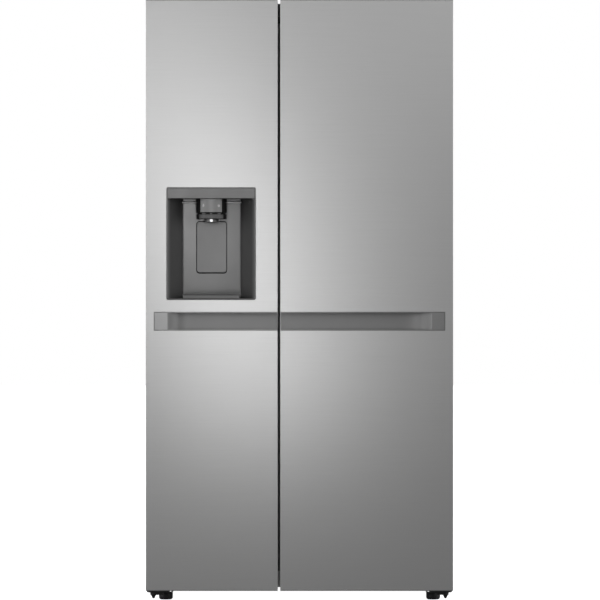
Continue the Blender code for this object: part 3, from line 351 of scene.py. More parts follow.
def round_off(obj, bevel, segments, angle):
    if bevel:
        add_bevel(obj, bevel, segments, angle).miter_outer = "MITER_ARC"
    obj.data.shade_smooth()
    obj.data.set_sharp_from_angle(angle=math.radians(angle))
    normals = obj.modifiers.new("flat_faces_stay_flat", "WEIGHTED_NORMAL")
    normals.keep_sharp = True
    normals.weight = 80


def to_mesh(name, bm):
    bmesh.ops.recalc_face_normals(bm, faces=bm.faces)
    mesh = bpy.data.meshes.new(name)
    bm.to_mesh(mesh)
    bm.free()
    return mesh


EXTRUDED = {  # outline (u, v) and place w along the axis to (x, y, z)
    "x": lambda u, v, w: (w, u, v),
    "y": lambda u, v, w: (u, w, v),
    "z": lambda u, v, w: (u, v, w),
}
TURNED = {  # radius as (c, s) and height h along the axis to (x, y, z)
    "x": lambda c, s, h: (h, c, s),
    "y": lambda c, s, h: (s, h, c),
    "z": lambda c, s, h: (c, s, h),
}


def close_ring(bm, a, b):
    """Faces between two rings of as many points."""
    for i in range(len(a)):
        j = (i + 1) % len(a)
        bm.faces.new((a[i], a[j], b[j], b[i]))


def prism(name, outline, axis, span):
    """An outline extruded along axis, from one end of span to the other."""
    bm = bmesh.new()
    low, high = ([bm.verts.new(EXTRUDED[axis](u, v, w)) for u, v in outline] for w in span)
    bm.faces.new(low)
    bm.faces.new(reversed(high))
    close_ring(bm, low, high)
    return to_mesh(name, bm)


def block(name, x, y, z):
    return prism(name, [(x[0], y[0]), (x[1], y[0]), (x[1], y[1]), (x[0], y[1])], "z", z)


def rounded(u, v, radius, steps=6):
    """A rectangle with round corners, as an outline."""
    points = []
    for cu, cv, start in (
        (u[1] - radius, v[1] - radius, 0), (u[0] + radius, v[1] - radius, 90),
        (u[0] + radius, v[0] + radius, 180), (u[1] - radius, v[0] + radius, 270),
    ):
        for step in range(steps + 1):
            a = math.radians(start + 90 * step / steps)
            points.append((cu + radius * math.cos(a), cv + radius * math.sin(a)))
    return points


def grown(span, by):
    return (span[0] - by, span[1] + by)


def lathe(name, profile, centre, axis="z", steps=64, sweep=(0.0, 360.0)):
    """A profile of (radius, height) points turned about an axis through centre. A closed turn joins up."""
    bm = bmesh.new()
    whole = abs(sweep[1] - sweep[0] - 360.0) < 1e-6
    rings = []
    for step in range(steps if whole else steps + 1):
        a = math.radians(sweep[0] + (sweep[1] - sweep[0]) * step / steps)
        c, s = math.cos(a), math.sin(a)
        ring = []
        for radius, height in profile:
            local = TURNED[axis](radius * c, radius * s, height)
            ring.append(bm.verts.new(Vector(centre) + Vector(local)))
        rings.append(ring)
    for a, b in zip(rings, rings[1:] + (rings[:1] if whole else [])):
        close_ring(bm, a, b)
    if not whole:
        bm.faces.new(rings[0])
        bm.faces.new(reversed(rings[-1]))
    bmesh.ops.remove_doubles(bm, verts=bm.verts, dist=1e-6)
    bmesh.ops.dissolve_degenerate(bm, edges=bm.edges, dist=1e-6)
    return to_mesh(name, bm)


def baked(obj):
    """The object's mesh with its modifiers applied; the object itself goes."""
    bpy.context.scene.collection.objects.link(obj)
    bpy.context.view_layer.update()
    graph = bpy.context.evaluated_depsgraph_get()
    mesh = bpy.data.meshes.new_from_object(obj.evaluated_get(graph))
    bpy.data.objects.remove(obj)
    bm = bmesh.new()
    bm.from_mesh(mesh)
    bmesh.ops.remove_doubles(bm, verts=bm.verts, dist=1e-6)
    bm.to_mesh(mesh)
    bm.free()
    return mesh


def carve(mesh, *cutters, operation="DIFFERENCE"):
    """The mesh with each cutter's volume taken away, or joined on by UNION."""
    obj = bpy.data.objects.new(mesh.name, mesh)
    helpers = []
    for cutter in cutters:
        helper = bpy.data.objects.new("cutter", cutter)
        bpy.context.scene.collection.objects.link(helper)
        modifier = obj.modifiers.new("cut", "BOOLEAN")
        modifier.operation, modifier.solver, modifier.object = operation, "EXACT", helper
        helpers.append(helper)
    result = baked(obj)
    for helper in helpers:
        bpy.data.objects.remove(helper)
    return result


def merged(name, *meshes):
    bm = bmesh.new()
    for mesh in meshes:
        bm.from_mesh(mesh)
    mesh = bpy.data.meshes.new(name)
    bm.to_mesh(mesh)
    bm.free()
    return mesh


def finish_node(name, material, bevel):
    """A CAD node that stays: welded, its edges rounded, and its own finish."""
    node = NODES[name]
    node.data.materials.clear()
    node.data.materials.append(material)
    weld = node.modifiers.new("weld", "WELD")
    weld.merge_threshold = 0.00001
    if bevel:
        add_bevel(node, bevel)
    smooth = node.modifiers.new("flat_faces_stay_flat", "WEIGHTED_NORMAL")
    smooth.keep_sharp = True
    node.data.shade_smooth()


# ------------------------------------------------------------------------------------------ doors
GRIP_LOW, GRIP_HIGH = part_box("fridge_door_handle")
GROOVE = (GRIP_LOW.z + 0.010, GRIP_HIGH.z - 0.010)
GROOVE_END = GRIP_HIGH.x - 0.001  # outer end, measured from the middle of the appliance
GROOVE_DEPTH = GRIP_HIGH.y - FRONT - 0.004
GROOVE_FLAT = 0.031  # flush plate at each outer end
GROOVE_RAMP = 0.034  # ramp that follows the plate
GROOVE_STEP = 0.012  # depth at the foot of that ramp
GROOVE_SLOPE = 0.100  # fading slope from there to the full depth
GRIP_FACE = 0.0004  # how far the grip's face sits behind the door's front
POCKET_FROM = 0.004  # depth at which the groove widens behind its lips
NICHE_LOW, NICHE_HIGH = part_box("dispenser_housing")
NICHE_RADIUS = 0.005
SKIN_THICKNESS = 0.0012
SKIN_RADIUS = 0.0008  # outside radius of the fold
CAP = 0.0024  # height of the moulded edge above and below the steel
EDGE_GAP = 0.0002  # between the steel and that edge
NOTCH_WIDTH = 0.085  # lowered corner of a door's top, where the hinge plate swings
NOTCH_DEPTH = 0.042
NOTCH_FRONT = 0.030
CORNER_STEPS, RAMP_STEPS, SLOPE_STEPS = 8, 24, 16
PAST = 0.010  # how far a cutter runs out past what it cuts


def skin_outline(lo, hi):
    """Plan of the folded sheet: round front corners, and both sides running back."""
    outer, inner = [], []
    for points, inset in ((outer, 0.0), (inner, SKIN_THICKNESS)):
        radius = max(SKIN_RADIUS - inset, 0.0001)
        x = (lo.x + inset, hi.x - inset)
        front = lo.y + inset
        points.append((x[0], hi.y))
        for corner, start in ((x[0] + radius, 180), (x[1] - radius, 270)):
            for step in range(CORNER_STEPS + 1):
                a = math.radians(start + 90 * step / CORNER_STEPS)
                points.append((corner + radius * math.cos(a), front + radius + radius * math.sin(a)))
        points.append((x[1], hi.y))
    return outer + inner[::-1]


def hinge_notch(lo, hi, side):
    """Cutter for the lowered corner of a door's top."""
    outer = hi.x if side > 0 else lo.x
    x = sorted((side * 0.50, side * (abs(outer) - NOTCH_WIDTH)))
    return block("notch", x, (lo.y + NOTCH_FRONT, hi.y + 0.02), (hi.z - NOTCH_DEPTH, hi.z + 0.02))


def door_skin(name, node, side, cutters=()):
    """Folded steel with its openings, and the moulded edges that close it above and below."""
    lo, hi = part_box(node)
    free = hi.x if side < 0 else lo.x
    outline = skin_outline(lo, hi)
    sheet = prism(name, outline, "z", (lo.z + CAP, hi.z - CAP))
    groove_x = sorted((side * (GROOVE_END + 0.0010), free - side * PAST))
    opening = block("opening", groove_x, (lo.y - PAST, lo.y + 0.040), grown(GROOVE, 0.0009))
    mesh = carve(sheet, opening, hinge_notch(lo, hi, side), *cutters)
    put(name, mesh, STEEL, BODY_OF[node], [node], bevel=0.0004, angle=50.0)
    top, bottom = (hi.z - CAP + EDGE_GAP, hi.z), (lo.z, lo.z + CAP - EDGE_GAP)
    for end, z in (("top", top), ("bottom", bottom)):
        edge = prism("edge", outline, "z", z)
        if end == "top":
            edge = carve(edge, hinge_notch(lo, hi, side))
        put(f"{name}_{end}_edge", edge, CAP_GREY, BODY_OF[node], bevel=0.0004, angle=50.0)


def groove_plan(side, free, first):
    """Plan of the groove, from the depth first on: a ramp that steepens, then a slope that fades out."""
    points, start = [], GROOVE_END - GROOVE_FLAT
    for step in range(RAMP_STEPS + 1):
        share = step / RAMP_STEPS
        depth = GROOVE_STEP * share * share
        if depth >= first:
            points.append((side * (start - GROOVE_RAMP * share), FRONT + depth))
    for step in range(1, SLOPE_STEPS + 1):
        share = step / SLOPE_STEPS
        depth = GROOVE_DEPTH - (GROOVE_DEPTH - GROOVE_STEP) * (1 - share) ** 6
        points.append((side * (start - GROOVE_RAMP - GROOVE_SLOPE * share), FRONT + depth))
    opened = first <= GRIP_FACE
    points[0] = (points[0][0], FRONT - PAST if opened else FRONT + first)
    past = free - side * PAST
    return points + [(past, FRONT + GROOVE_DEPTH), (past, points[0][1])]


def door_grip(name, node, side):
    """One door's half of the groove: a flush plate, the channel, and undercut lips for the fingers."""
    lo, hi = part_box(node)
    free = hi.x if side < 0 else lo.x
    left = side < 0
    plate_x = (lo.x + 0.0021, hi.x) if left else (lo.x, hi.x - 0.0021)
    lips_x = (lo.x, hi.x - 0.004) if left else (lo.x + 0.004, hi.x)
    plate = block(name, plate_x, (FRONT + GRIP_FACE, hi.y), grown(GROOVE, -0.0011))
    lips = block("lips", lips_x, (FRONT + 0.0036, hi.y), grown(GROOVE, 0.009))
    body = carve(plate, lips, operation="UNION")
    mouth = prism("mouth", groove_plan(side, free, GRIP_FACE), "z", grown(GROOVE, -0.0022))
    pocket = prism("pocket", groove_plan(side, free, POCKET_FROM), "z", grown(GROOVE, 0.006))
    mesh = carve(body, mouth, pocket)
    put(name, mesh, GRIP, BODY_OF[node], [node], bevel=0.0003, angle=50.0)


def niche_cutter(grow):
    x = grown((NICHE_LOW.x, NICHE_HIGH.x), grow)
    z = grown((NICHE_LOW.z, NICHE_HIGH.z), grow)
    return prism("niche_opening", rounded(x, z, NICHE_RADIUS + grow), "y", (FRONT - PAST, FRONT + 0.02))


door_skin("freezer_skin", "freezer_door_skin", -1, [niche_cutter(0.0008)])
door_skin("fridge_skin", "fridge_door_skin", 1)
door_grip("freezer_grip", "freezer_door_handle", -1)
door_grip("fridge_grip", "fridge_door_handle", 1)


# ------------------------------------------------------------------------------------------ dispenser
DOOR = "freezer_door"
TRAY_LOW, TRAY_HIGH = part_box("drip_tray")
PAD_LOW, PAD_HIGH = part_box("dispenser_paddle")
HEAD_LOW, HEAD_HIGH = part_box("dispenser_head")
BAND_LOW, BAND_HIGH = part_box("dispenser_fascia")
WALL_Y = PAD_LOW.y  # the niche's back wall
BACK_X = (TRAY_LOW.x - 0.0005, TRAY_HIGH.x + 0.0005)
NICHE_X, NICHE_Z = (NICHE_LOW.x, NICHE_HIGH.x), (NICHE_LOW.z, NICHE_HIGH.z)
MID_X = (HEAD_LOW.x + HEAD_HIGH.x) / 2
HEAD_R = (HEAD_HIGH.x - HEAD_LOW.x) / 2
HEAD_Y = HEAD_LOW.y + HEAD_R
CEILING, FLOOR = BAND_LOW.z - 0.0003, TRAY_LOW.z - 0.0003
MOUTH = HEAD_LOW.z + 0.0088  # underside of the head, round the spout
RIM = 0.0014  # width of the niche's rim, seen from the front
PAD_ROOM = 0.0016  # extra room below the pad, which it tilts into
HOOK = FRONT + 0.0015  # where the niche's side walls turn from the rim


def pad_shape(name, grow, y):
    """A prism with the push pad's outline grown on every side, and a little more at its foot."""
    z = (PAD_LOW.z - PAD_ROOM - grow, PAD_HIGH.z + grow)
    return prism(name, rounded(grown((PAD_LOW.x, PAD_HIGH.x), grow), z, 0.0084 + grow), "y", y)


def niche():
    """The moulded niche: a rim flush with the door, slanted side walls, ceiling and floor."""
    outline = rounded(NICHE_X, NICHE_Z, NICHE_RADIUS, 8)
    outer = prism("niche", outline, "y", (FRONT + 0.0002, NICHE_HIGH.y - 0.022))
    rim_x = grown(NICHE_X, -RIM)
    right = [
        (rim_x[1], HOOK), (rim_x[1] - 0.0020, HOOK + 0.0015), (rim_x[1] - 0.0050, HOOK + 0.0060),
        (BACK_X[1] + 0.006, WALL_Y - 0.006), (BACK_X[1] + 0.0015, WALL_Y),
    ]
    left = [
        (BACK_X[0] - 0.0015, WALL_Y), (BACK_X[0] - 0.006, WALL_Y - 0.006),
        (rim_x[0] + 0.0050, HOOK + 0.0060), (rim_x[0] + 0.0020, HOOK + 0.0015), (rim_x[0], HOOK),
    ]
    plan = [(rim_x[0], FRONT - PAST), (rim_x[1], FRONT - PAST), *right, *left]
    hollow = prism("hollow", plan, "z", (FLOOR, CEILING))
    sill_bed = block("sill_bed", rim_x, (FRONT - PAST, FRONT + 0.004), (NICHE_Z[0] + 0.0008, FLOOR + 0.001))
    bed_z = (CEILING - 0.004, NICHE_HIGH.z - 0.003)
    bed = block("bed", grown(NICHE_X, -0.003), (FRONT - PAST, FRONT + 0.0136), bed_z)
    pad = pad_shape("pad", 0.0018, (WALL_Y - PAST, WALL_Y + 0.05))
    mesh = carve(outer, hollow, sill_bed, bed, pad)
    put(
        "dispenser_niche", mesh, NICHE_WALL_SHADE, DOOR, ["dispenser_housing"],
        bevel=0.0005, segments=3, angle=30.0,
    )


def sill():
    """Dark strip under the drip tray, flush with the door."""
    x = grown(NICHE_X, -RIM - 0.0002)
    strip = block("sill", x, (FRONT + 0.0006, FRONT + 0.0038), (NICHE_Z[0] + 0.0010, FLOOR))
    put("niche_sill", strip, SILL, DOOR, bevel=0.0004)


def back_plate():
    """Lighter panel on the niche's back wall with the pad's window, and the dark well behind the pad."""
    z = (FLOOR + 0.0125, CEILING - 0.0005)
    outline = rounded(grown(BACK_X, -0.0006), z, 0.002, 3)
    plate = prism("plate", outline, "y", (WALL_Y - 0.0012, WALL_Y + 0.0008))
    window = pad_shape("window", 0.0014, (WALL_Y - PAST, WALL_Y + PAST))
    put("dispenser_back_plate", carve(plate, window), NICHE, DOOR, bevel=0.0005)
    well = pad_shape("paddle_well", 0.003, (WALL_Y + 0.001, WALL_Y + 0.0228))
    inner = pad_shape("inner", 0.0017, (WALL_Y - PAST, WALL_Y + 0.0218))
    put("paddle_well", carve(well, inner), BLACK, DOOR)


def ledge():
    """Two light bars across the back wall, just under the ceiling, one each side of the head."""
    z = CEILING - 0.0105
    outline = [
        (WALL_Y - 0.0155, z - 0.0022), (WALL_Y - 0.0165, z + 0.0010), (WALL_Y - 0.0145, z + 0.0022),
        (WALL_Y, z + 0.0022), (WALL_Y, z - 0.0022),
    ]
    left = (BACK_X[0] - 0.004, HEAD_LOW.x + 0.002)
    right = (HEAD_HIGH.x - 0.002, BACK_X[1] + 0.004)
    for name, x in (("left", left), ("right", right)):
        bar = prism("ledge", outline, "x", x)
        put(f"niche_ledge_{name}", bar, LEDGE, DOOR, bevel=0.0006)


def fascia():
    """Plain metallic band over the niche."""
    outline = rounded((BAND_LOW.x, BAND_HIGH.x), (BAND_LOW.z - 0.0006, BAND_HIGH.z), 0.0022, 4)
    band = prism("band", outline, "y", (FRONT + 0.0003, BAND_HIGH.y))
    put("dispenser_band", band, FASCIA, DOOR, ["dispenser_fascia"], bevel=0.0009, segments=3)


def arc(half_angle):
    """A sweep centred on the front of the head, in degrees."""
    return (270 - half_angle, 270 + half_angle)


def head():
    """Round outlet: black housing, a metal band round its front, a darker ring under the waist."""
    top, waist, lower = CEILING - 0.0002, CEILING - 0.0428, CEILING - 0.0470
    centre = (MID_X, HEAD_Y, 0)
    r = HEAD_R
    profile = [
        (0, top), (r, top), (r, waist + 0.001), (r - 0.001, waist), (r - 0.003, waist - 0.0004),
        (r - 0.003, lower), (r - 0.0010, lower - 0.0004), (r - 0.0010, MOUTH + 0.002), (r - 0.003, MOUTH),
        (0.022, MOUTH), (0.022, MOUTH + 0.012), (0, MOUTH + 0.012),
    ]
    shell = lathe("head", profile, centre, steps=96)
    around_x, around_z = grown((HEAD_LOW.x, HEAD_HIGH.x), PAST), grown((HEAD_LOW.z, HEAD_HIGH.z), PAST)
    behind = block("behind", around_x, (WALL_Y - 0.0015, WALL_Y + 0.1), around_z)
    put("head_housing", carve(shell, behind), GLOSS, DOOR, ["dispenser_head"], bevel=0.0003)
    band = [
        (r + 0.0006, top - 0.0008), (r + 0.0006, waist + 0.0020),
        (r - 0.0006, waist + 0.0016), (r - 0.0006, top - 0.0006),
    ]
    mesh = lathe("band", band, centre, steps=48, sweep=arc(43))
    put("head_band", mesh, SATIN_METAL, DOOR, bevel=0.0002)
    ring = [
        (r - 0.0004, lower - 0.0010), (r - 0.0004, MOUTH + 0.0022),
        (r - 0.0020, MOUTH + 0.0016), (r - 0.0020, lower - 0.0006),
    ]
    mesh = lathe("ring", ring, centre, steps=56, sweep=arc(52))
    put("head_ring", mesh, DARK_METAL, DOOR, bevel=0.0002)


def spout():
    """Ice spout under the head, with the pale water nozzle inside it, whose glow is a painted highlight."""
    tip = HEAD_LOW.z
    profile = [
        (0.0200, MOUTH + 0.010), (0.0213, MOUTH), (0.0205, tip + 0.001),
        (0.0192, tip), (0.0176, tip + 0.001), (0.0170, MOUTH + 0.010),
    ]
    mesh = lathe("spout", profile, (MID_X, HEAD_Y + 0.008, 0))
    put("ice_spout", mesh, SATIN_METAL, DOOR)
    lo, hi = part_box("water_nozzle")
    profile = [
        (0, hi.z), (0.0043, hi.z), (0.0043, lo.z + 0.007), (0.0038, lo.z + 0.0038),
        (0.0031, lo.z + 0.003), (0.0023, lo.z + 0.0036), (0.0021, lo.z + 0.009), (0, lo.z + 0.009),
    ]
    centre = ((lo.x + hi.x) / 2, (lo.y + hi.y) / 2, 0)
    mesh = lathe("tip", profile, centre, steps=32)
    put("nozzle_tip", mesh, GLOWING_NOZZLE, DOOR, ["water_nozzle"])


def drop(steps=28):
    """Outline of a water drop, point up, about 7 mm tall."""
    points = []
    for i in range(steps):
        a = math.tau * i / steps
        radius = 0.0031 * (1 + 0.9 * max(0.0, math.sin(a)) ** 6)
        points.append((radius * math.cos(a), radius * math.sin(a)))
    return points


def ice_cube(radius=0.0041):
    """Outline of a cube seen from a corner."""
    angles = [math.radians(90 + 60 * i) for i in range(6)]
    return [(radius * math.cos(a), radius * math.sin(a)) for a in angles]


def icons():
    """Two small pictograms, a drop and an ice cube, printed on the band where it curves."""
    z = CEILING - 0.0220
    for name, outline, angle in (("drop", drop(), -29.0), ("ice", ice_cube(), 29.0)):
        bm = bmesh.new()
        rings = []
        for r in (HEAD_R + 0.0008, HEAD_R + 0.0004):
            ring = []
            for u, v in outline:
                a = math.radians(270 + angle) + u / HEAD_R
                ring.append(bm.verts.new((MID_X + r * math.cos(a), HEAD_Y + r * math.sin(a), z + v)))
            rings.append(ring)
        bm.faces.new(rings[0])
        bm.faces.new(reversed(rings[1]))
        close_ring(bm, *rings)
        put(f"mark_{name}", to_mesh(name, bm), ICON, DOOR)


def paddle():
    """Push pad with round corners and softened edges."""
    outline = rounded((PAD_LOW.x, PAD_HIGH.x), (PAD_LOW.z, PAD_HIGH.z), 0.0085, 8)
    pad = prism("pad", outline, "y", (PAD_LOW.y + 0.0002, PAD_HIGH.y))
    put("paddle_pad", pad, PAD, "paddle", ["dispenser_paddle"], bevel=0.0011, segments=3)


def drip_tray():
    """Tray with a slotted grille let into its rim."""
    x, y = (TRAY_LOW.x, TRAY_HIGH.x), (TRAY_LOW.y, TRAY_HIGH.y)
    z = (TRAY_LOW.z, TRAY_HIGH.z - 0.0025)
    slot_pitch, slot_width = 0.0078, 0.0042
    tray = prism("tray", rounded(x, y, 0.003, 4), "z", z)
    inside = rounded(grown(x, -0.005), grown(y, -0.005), 0.002, 3)
    well = prism("well", inside, "z", (z[0] + 0.002, z[1] + PAST))
    body = carve(tray, well)
    put("tray_body", body, TRAY, "tray", ["drip_tray"], bevel=0.0008, segments=3)
    outline = rounded(grown(x, -0.0055), grown(y, -0.0055), 0.002, 3)
    plate = prism("grille", outline, "z", (z[1] - 0.0032, z[1] - 0.0010))
    slots = []
    for row in range(8):
        at = y[0] + 0.0105 + row * slot_pitch
        slot = rounded(grown(x, -0.014), (at, at + slot_width), 0.0020, 3)
        slots.append(prism("slot", slot, "z", (z[0], z[1] + PAST)))
    put("tray_grille", carve(plate, *slots), SATIN_METAL, "tray", bevel=0.0004)


niche()
sill()
back_plate()
ledge()
fascia()
head()
spout()
icons()
paddle()
drip_tray()


# ------------------------------------------------------------------------------------------ CAD nodes
GLASS_SHELVES = ("freezer_shelf_1", "freezer_shelf_2", "fridge_shelf_1", "fridge_shelf_2", "fridge_shelf_3")
DRAWERS = ("freezer_drawer_lower", "freezer_drawer_upper", "crisper_lower", "crisper_upper")
DOOR_BINS = (
    "freezer_door_bin_lower", "freezer_door_bin_upper",
    "fridge_door_bin_1", "fridge_door_bin_2", "fridge_door_bin_3", "fridge_door_bin_4",
)
STAYING = (  # finish, width of the rounded edges, nodes
    (CASE, 0.0005, ("cabinet_wrap",)),
    (CASE, 0.0004, ("centre_mullion",)),
    (ZINC, 0.0, ("back_panel",)),
    (ZINC, 0.0004, ("base_frame",)),
    (ZINC, 0.0005, ("top_hinge_left", "top_hinge_right")),
    (FOAM, 0.0, ("insulation_foam",)),
    (WHITE, 0.0015, ("freezer_liner", "fridge_liner", "fridge_duct_cover")),
    (WHITE, 0.0006, ("freezer_duct_cover",)),
    (WHITE, 0.001, ("ice_maker",)),
    (BLACK, 0.0004, ("hinge_cover_left", "hinge_cover_right", "machine_room_cover")),
    (BLACK, 0.0006, ("levelling_foot_left", "levelling_foot_right")),
    (BLACK, 0.0006, ("rear_roller_left", "rear_roller_right")),
    (BLACK, 0.0008, ("condenser_fan_frame", "drain_pan")),
    (BLACK_PAINT, 0.0006, ("bottom_hinge_left", "bottom_hinge_right")),
    (BLACK_PAINT, 0.001, ("compressor",)),
    (BLACK_PAINT, 0.0, ("condenser",)),
    (GREY_PLASTIC, 0.0004, ("condenser_fan", "evaporator_fan")),
    (ALUMINIUM, 0.0, ("evaporator",)),
    (GLASS, 0.0008, GLASS_SHELVES),
    (FROSTED, 0.001, DRAWERS),
    (FROSTED, 0.0008, ("ice_bin",)),
    (CLEAR, 0.0008, DOOR_BINS),
    (DIFFUSER, 0.0006, ("fridge_lamp",)),
    (DOOR_BODY, 0.0012, ("freezer_door_core", "fridge_door_core")),
    (RUBBER, 0.0015, ("freezer_door_gasket", "fridge_door_gasket")),
)
for finish, bevel, names in STAYING:
    for name in names:
        finish_node(name, finish, bevel)


# ------------------------------------------------------------------------------------------ small parts
def screw(name, at, axis, material=ZINC):
    """Pan head with a cross recess on the cabinet, its foot at the point and its top along +axis."""
    radius, height, foot = 0.0042, 0.0016, -0.0004
    index = "xyz".index(axis)
    profile = [
        (0, foot), (radius, foot), (radius, height * 0.4), (radius * 0.75, height * 0.85), (0, height),
    ]
    head_mesh = lathe(name, profile, at, axis, steps=20)
    arm, half_width = radius * 0.62, 0.0005
    cutters = []
    for long_axis in {0, 1, 2} - {index}:
        spans = [grown((centre, centre), half_width) for centre in at]
        spans[long_axis] = grown((at[long_axis], at[long_axis]), arm)
        spans[index] = (at[index] + height * 0.35, at[index] + PAST)
        cutters.append(block("slot", *spans))
    put(name, carve(head_mesh, *cutters), material, "cabinet")


def trim(name, node, outline, inset):
    """A white moulded strip along a node's front or top edge, on the same body as the node."""
    lo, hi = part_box(node)
    strip = prism(name, outline, "x", (lo.x + inset, hi.x - inset))
    put(name, strip, WHITE_TRIM, BODY_OF[node], bevel=0.0010)


def shelf_trims():
    """White strip with rounded edges along the front of each glass shelf."""
    for node in GLASS_SHELVES:
        lo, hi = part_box(node)
        front, top = lo.y - 0.0025, hi.z + 0.0006
        back, foot = front + 0.0125, top - 0.0150
        outline = [(front, foot), (back, foot), (back, top), (front, top)]
        trim(node + "_trim", node, outline, 0.0045)


def drawer_grips():
    """White pull along the top of each drawer's front, with a lip that turns down over it."""
    for node in DRAWERS:
        lo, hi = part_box(node)
        front, top = lo.y - 0.0010, hi.z + 0.0012
        outline = [
            (front, top - 0.0190), (front + 0.0030, top - 0.0190), (front + 0.0030, top - 0.0170),
            (front + 0.0145, top - 0.0170), (front + 0.0145, top), (front, top),
        ]
        trim(node + "_pull", node, outline, 0.0500)


def bin_rails():
    """White rail on the retaining wall of each door bin."""
    for node in ("ice_bin", *DOOR_BINS):
        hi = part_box(node)[1]
        back, top = hi.y + 0.0010, hi.z + 0.0010
        outline = [(back - 0.0055, top - 0.0120), (back, top - 0.0120), (back, top), (back - 0.0055, top)]
        trim(node + "_rail", node, outline, 0.0020)


def lamp_bezel():
    """White frame round the ceiling lamp."""
    lo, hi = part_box("fridge_lamp")
    x, y, z = (lo.x, hi.x), (lo.y, hi.y), (hi.z - 0.0045, hi.z)
    bezel = prism("bezel", rounded(grown(x, 0.006), grown(y, 0.006), 0.008), "z", z)
    window = block("window", grown(x, -0.0005), grown(y, -0.0005), grown(z, PAST))
    put("lamp_bezel", carve(bezel, window), WHITE_TRIM, "cabinet", bevel=0.0010)


def back_beads():
    """Four pressed beads that stiffen the back panel, and the screws round its edge."""
    lo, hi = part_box("back_panel")
    bead_top, half_width, screw_inset = 1.38, 0.009, 0.010
    for number, x in enumerate((-0.33, -0.11, 0.11, 0.33)):
        outline = rounded(grown((x, x), half_width), (lo.z + 0.07, bead_top), 0.0085)
        bead = prism("bead", outline, "y", (hi.y - 0.0004, hi.y + 0.0030))
        put(f"back_bead_{number}", bead, ZINC, "cabinet", bevel=0.0022, segments=3)
    edge_x = hi.x - screw_inset
    places = [(side * edge_x, z) for side in (-1, 1) for z in (0.34, 0.69, 1.04, 1.39, 1.735)]
    places += [(x, hi.z - screw_inset) for x in (-0.22, 0.22)]
    for number, (x, z) in enumerate(places):
        screw(f"back_screw_{number}", (x, hi.y, z), "y")


def back_flanges():
    """Zinc strips that carry the back panel down both sides of the rear cover."""
    lo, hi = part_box("back_panel")
    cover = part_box("machine_room_cover")[1]
    for side, sign in (("left", -1), ("right", 1)):
        x = sorted((sign * (cover.x + 0.0004), sign * hi.x))
        strip = block("flange", x, (lo.y, hi.y), (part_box("insulation_foam")[0].z, lo.z - 0.0003))
        put(f"back_flange_{side}", strip, ZINC, "cabinet", bevel=0.0003)


def rear_cover():
    """Hoods over the cover's slots, and its screws."""
    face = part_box("machine_room_cover")[1].y - 0.0025  # the collars stand out past the face
    lowest, pitch, half_length = 0.085, 0.021, 0.111
    hoods = []
    for middle in (-0.27, 0.27):
        for row in range(9):
            low = lowest + row * pitch
            outline = [
                (face - 0.0004, low + 0.0082), (face + 0.0020, low + 0.0062),
                (face + 0.0020, low + 0.0072), (face - 0.0004, low + 0.0115),
            ]
            hoods.append(prism("hood", outline, "x", grown((middle, middle), half_length)))
    put("cover_louvres", merged("louvres", *hoods), BLACK, "cabinet")
    places = [(x, z) for x in (-0.425, 0.0, 0.425) for z in (0.066, 0.284)]
    for number, (x, z) in enumerate(places):
        screw(f"cover_screw_{number}", (x, face, z), "y")


def hinge_cover_screws():
    """Two screws in the top of each hinge cover."""
    for side, sign in (("left", -1), ("right", 1)):
        lo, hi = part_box(f"hinge_cover_{side}")
        for number, x in enumerate((0.10, 0.30)):
            at = (sign * x, (lo.y + hi.y) / 2, hi.z)
            screw(f"cap_screw_{side}_{number}", at, "z", BLACK_PAINT)


def control_lid():
    """Board housing: a lid with vents along its foot, a sunk panel and four sunk screws."""
    lo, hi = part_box("control_box")
    sunk, screw_inset = 0.0030, 0.011
    lid = prism("lid", rounded((lo.x, hi.x), (lo.z, hi.z), 0.008), "y", (lo.y, hi.y))
    cutters, places = [], []
    for column in range(9):
        x = -0.080 + column * 0.020
        outline = rounded(grown((x, x), 0.0035), (lo.z + 0.020, lo.z + 0.060), 0.0034, 4)
        cutters.append(prism("vent", outline, "y", (hi.y - 0.004, hi.y + PAST)))
    panel_x, panel_z = (lo.x + 0.022, hi.x - 0.022), (lo.z + 0.080, hi.z - 0.022)
    cutters.append(prism("panel", rounded(panel_x, panel_z, 0.006), "y", (hi.y - 0.0015, hi.y + PAST)))
    pocket = [(0, -sunk), (0.0062, -sunk), (0.0062, PAST), (0, PAST)]
    for x in grown((lo.x, hi.x), -screw_inset):
        for z in grown((lo.z, hi.z), -screw_inset):
            places.append((x, z))
            cutters.append(lathe("pocket", pocket, (x, hi.y, z), "y", steps=24))
    mesh = carve(lid, *cutters)
    put("control_lid", mesh, GREY_PLASTIC, "cabinet", ["control_box"], bevel=0.0012)
    for number, (x, z) in enumerate(places):
        screw(f"lid_screw_{number}", (x, hi.y - sunk, z), "y")


def hinge_steps():
    """Lower flange of each bottom hinge, between its cone and the foot."""
    for side, sign in (("left", -1), ("right", 1)):
        lo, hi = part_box(f"bottom_hinge_{side}")
        outer = hi.x if sign > 0 else -lo.x
        x = sorted((sign * (outer - 0.0180), sign * (outer - 0.0480)))
        outline = rounded(x, (0.0188, 0.0268), 0.0030, 4)
        flange = prism("flange", outline, "y", (lo.y + 0.004, lo.y + 0.012))
        put(f"hinge_flange_{side}", flange, BLACK_PAINT, "cabinet", bevel=0.0006)


def mullion_painted_shadow():
    """Black piece at the top of the gap between the doors, a painted shadow where the gap lies in shade."""
    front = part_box("centre_mullion")[0].y
    case_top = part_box("cabinet_wrap")[1].z
    middle = (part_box("freezer_door_skin")[1].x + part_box("fridge_door_skin")[0].x) / 2
    z = (case_top - 0.0220, case_top - 0.0005)
    # painted shadow: a black block standing in for the shade at the top of the door gap
    cap = block("cap", grown((middle, middle), 0.0110), (front - 0.0016, front + 0.0004), z)
    put("mullion_painted_shadow", cap, BLACK, "cabinet", bevel=0.0006)


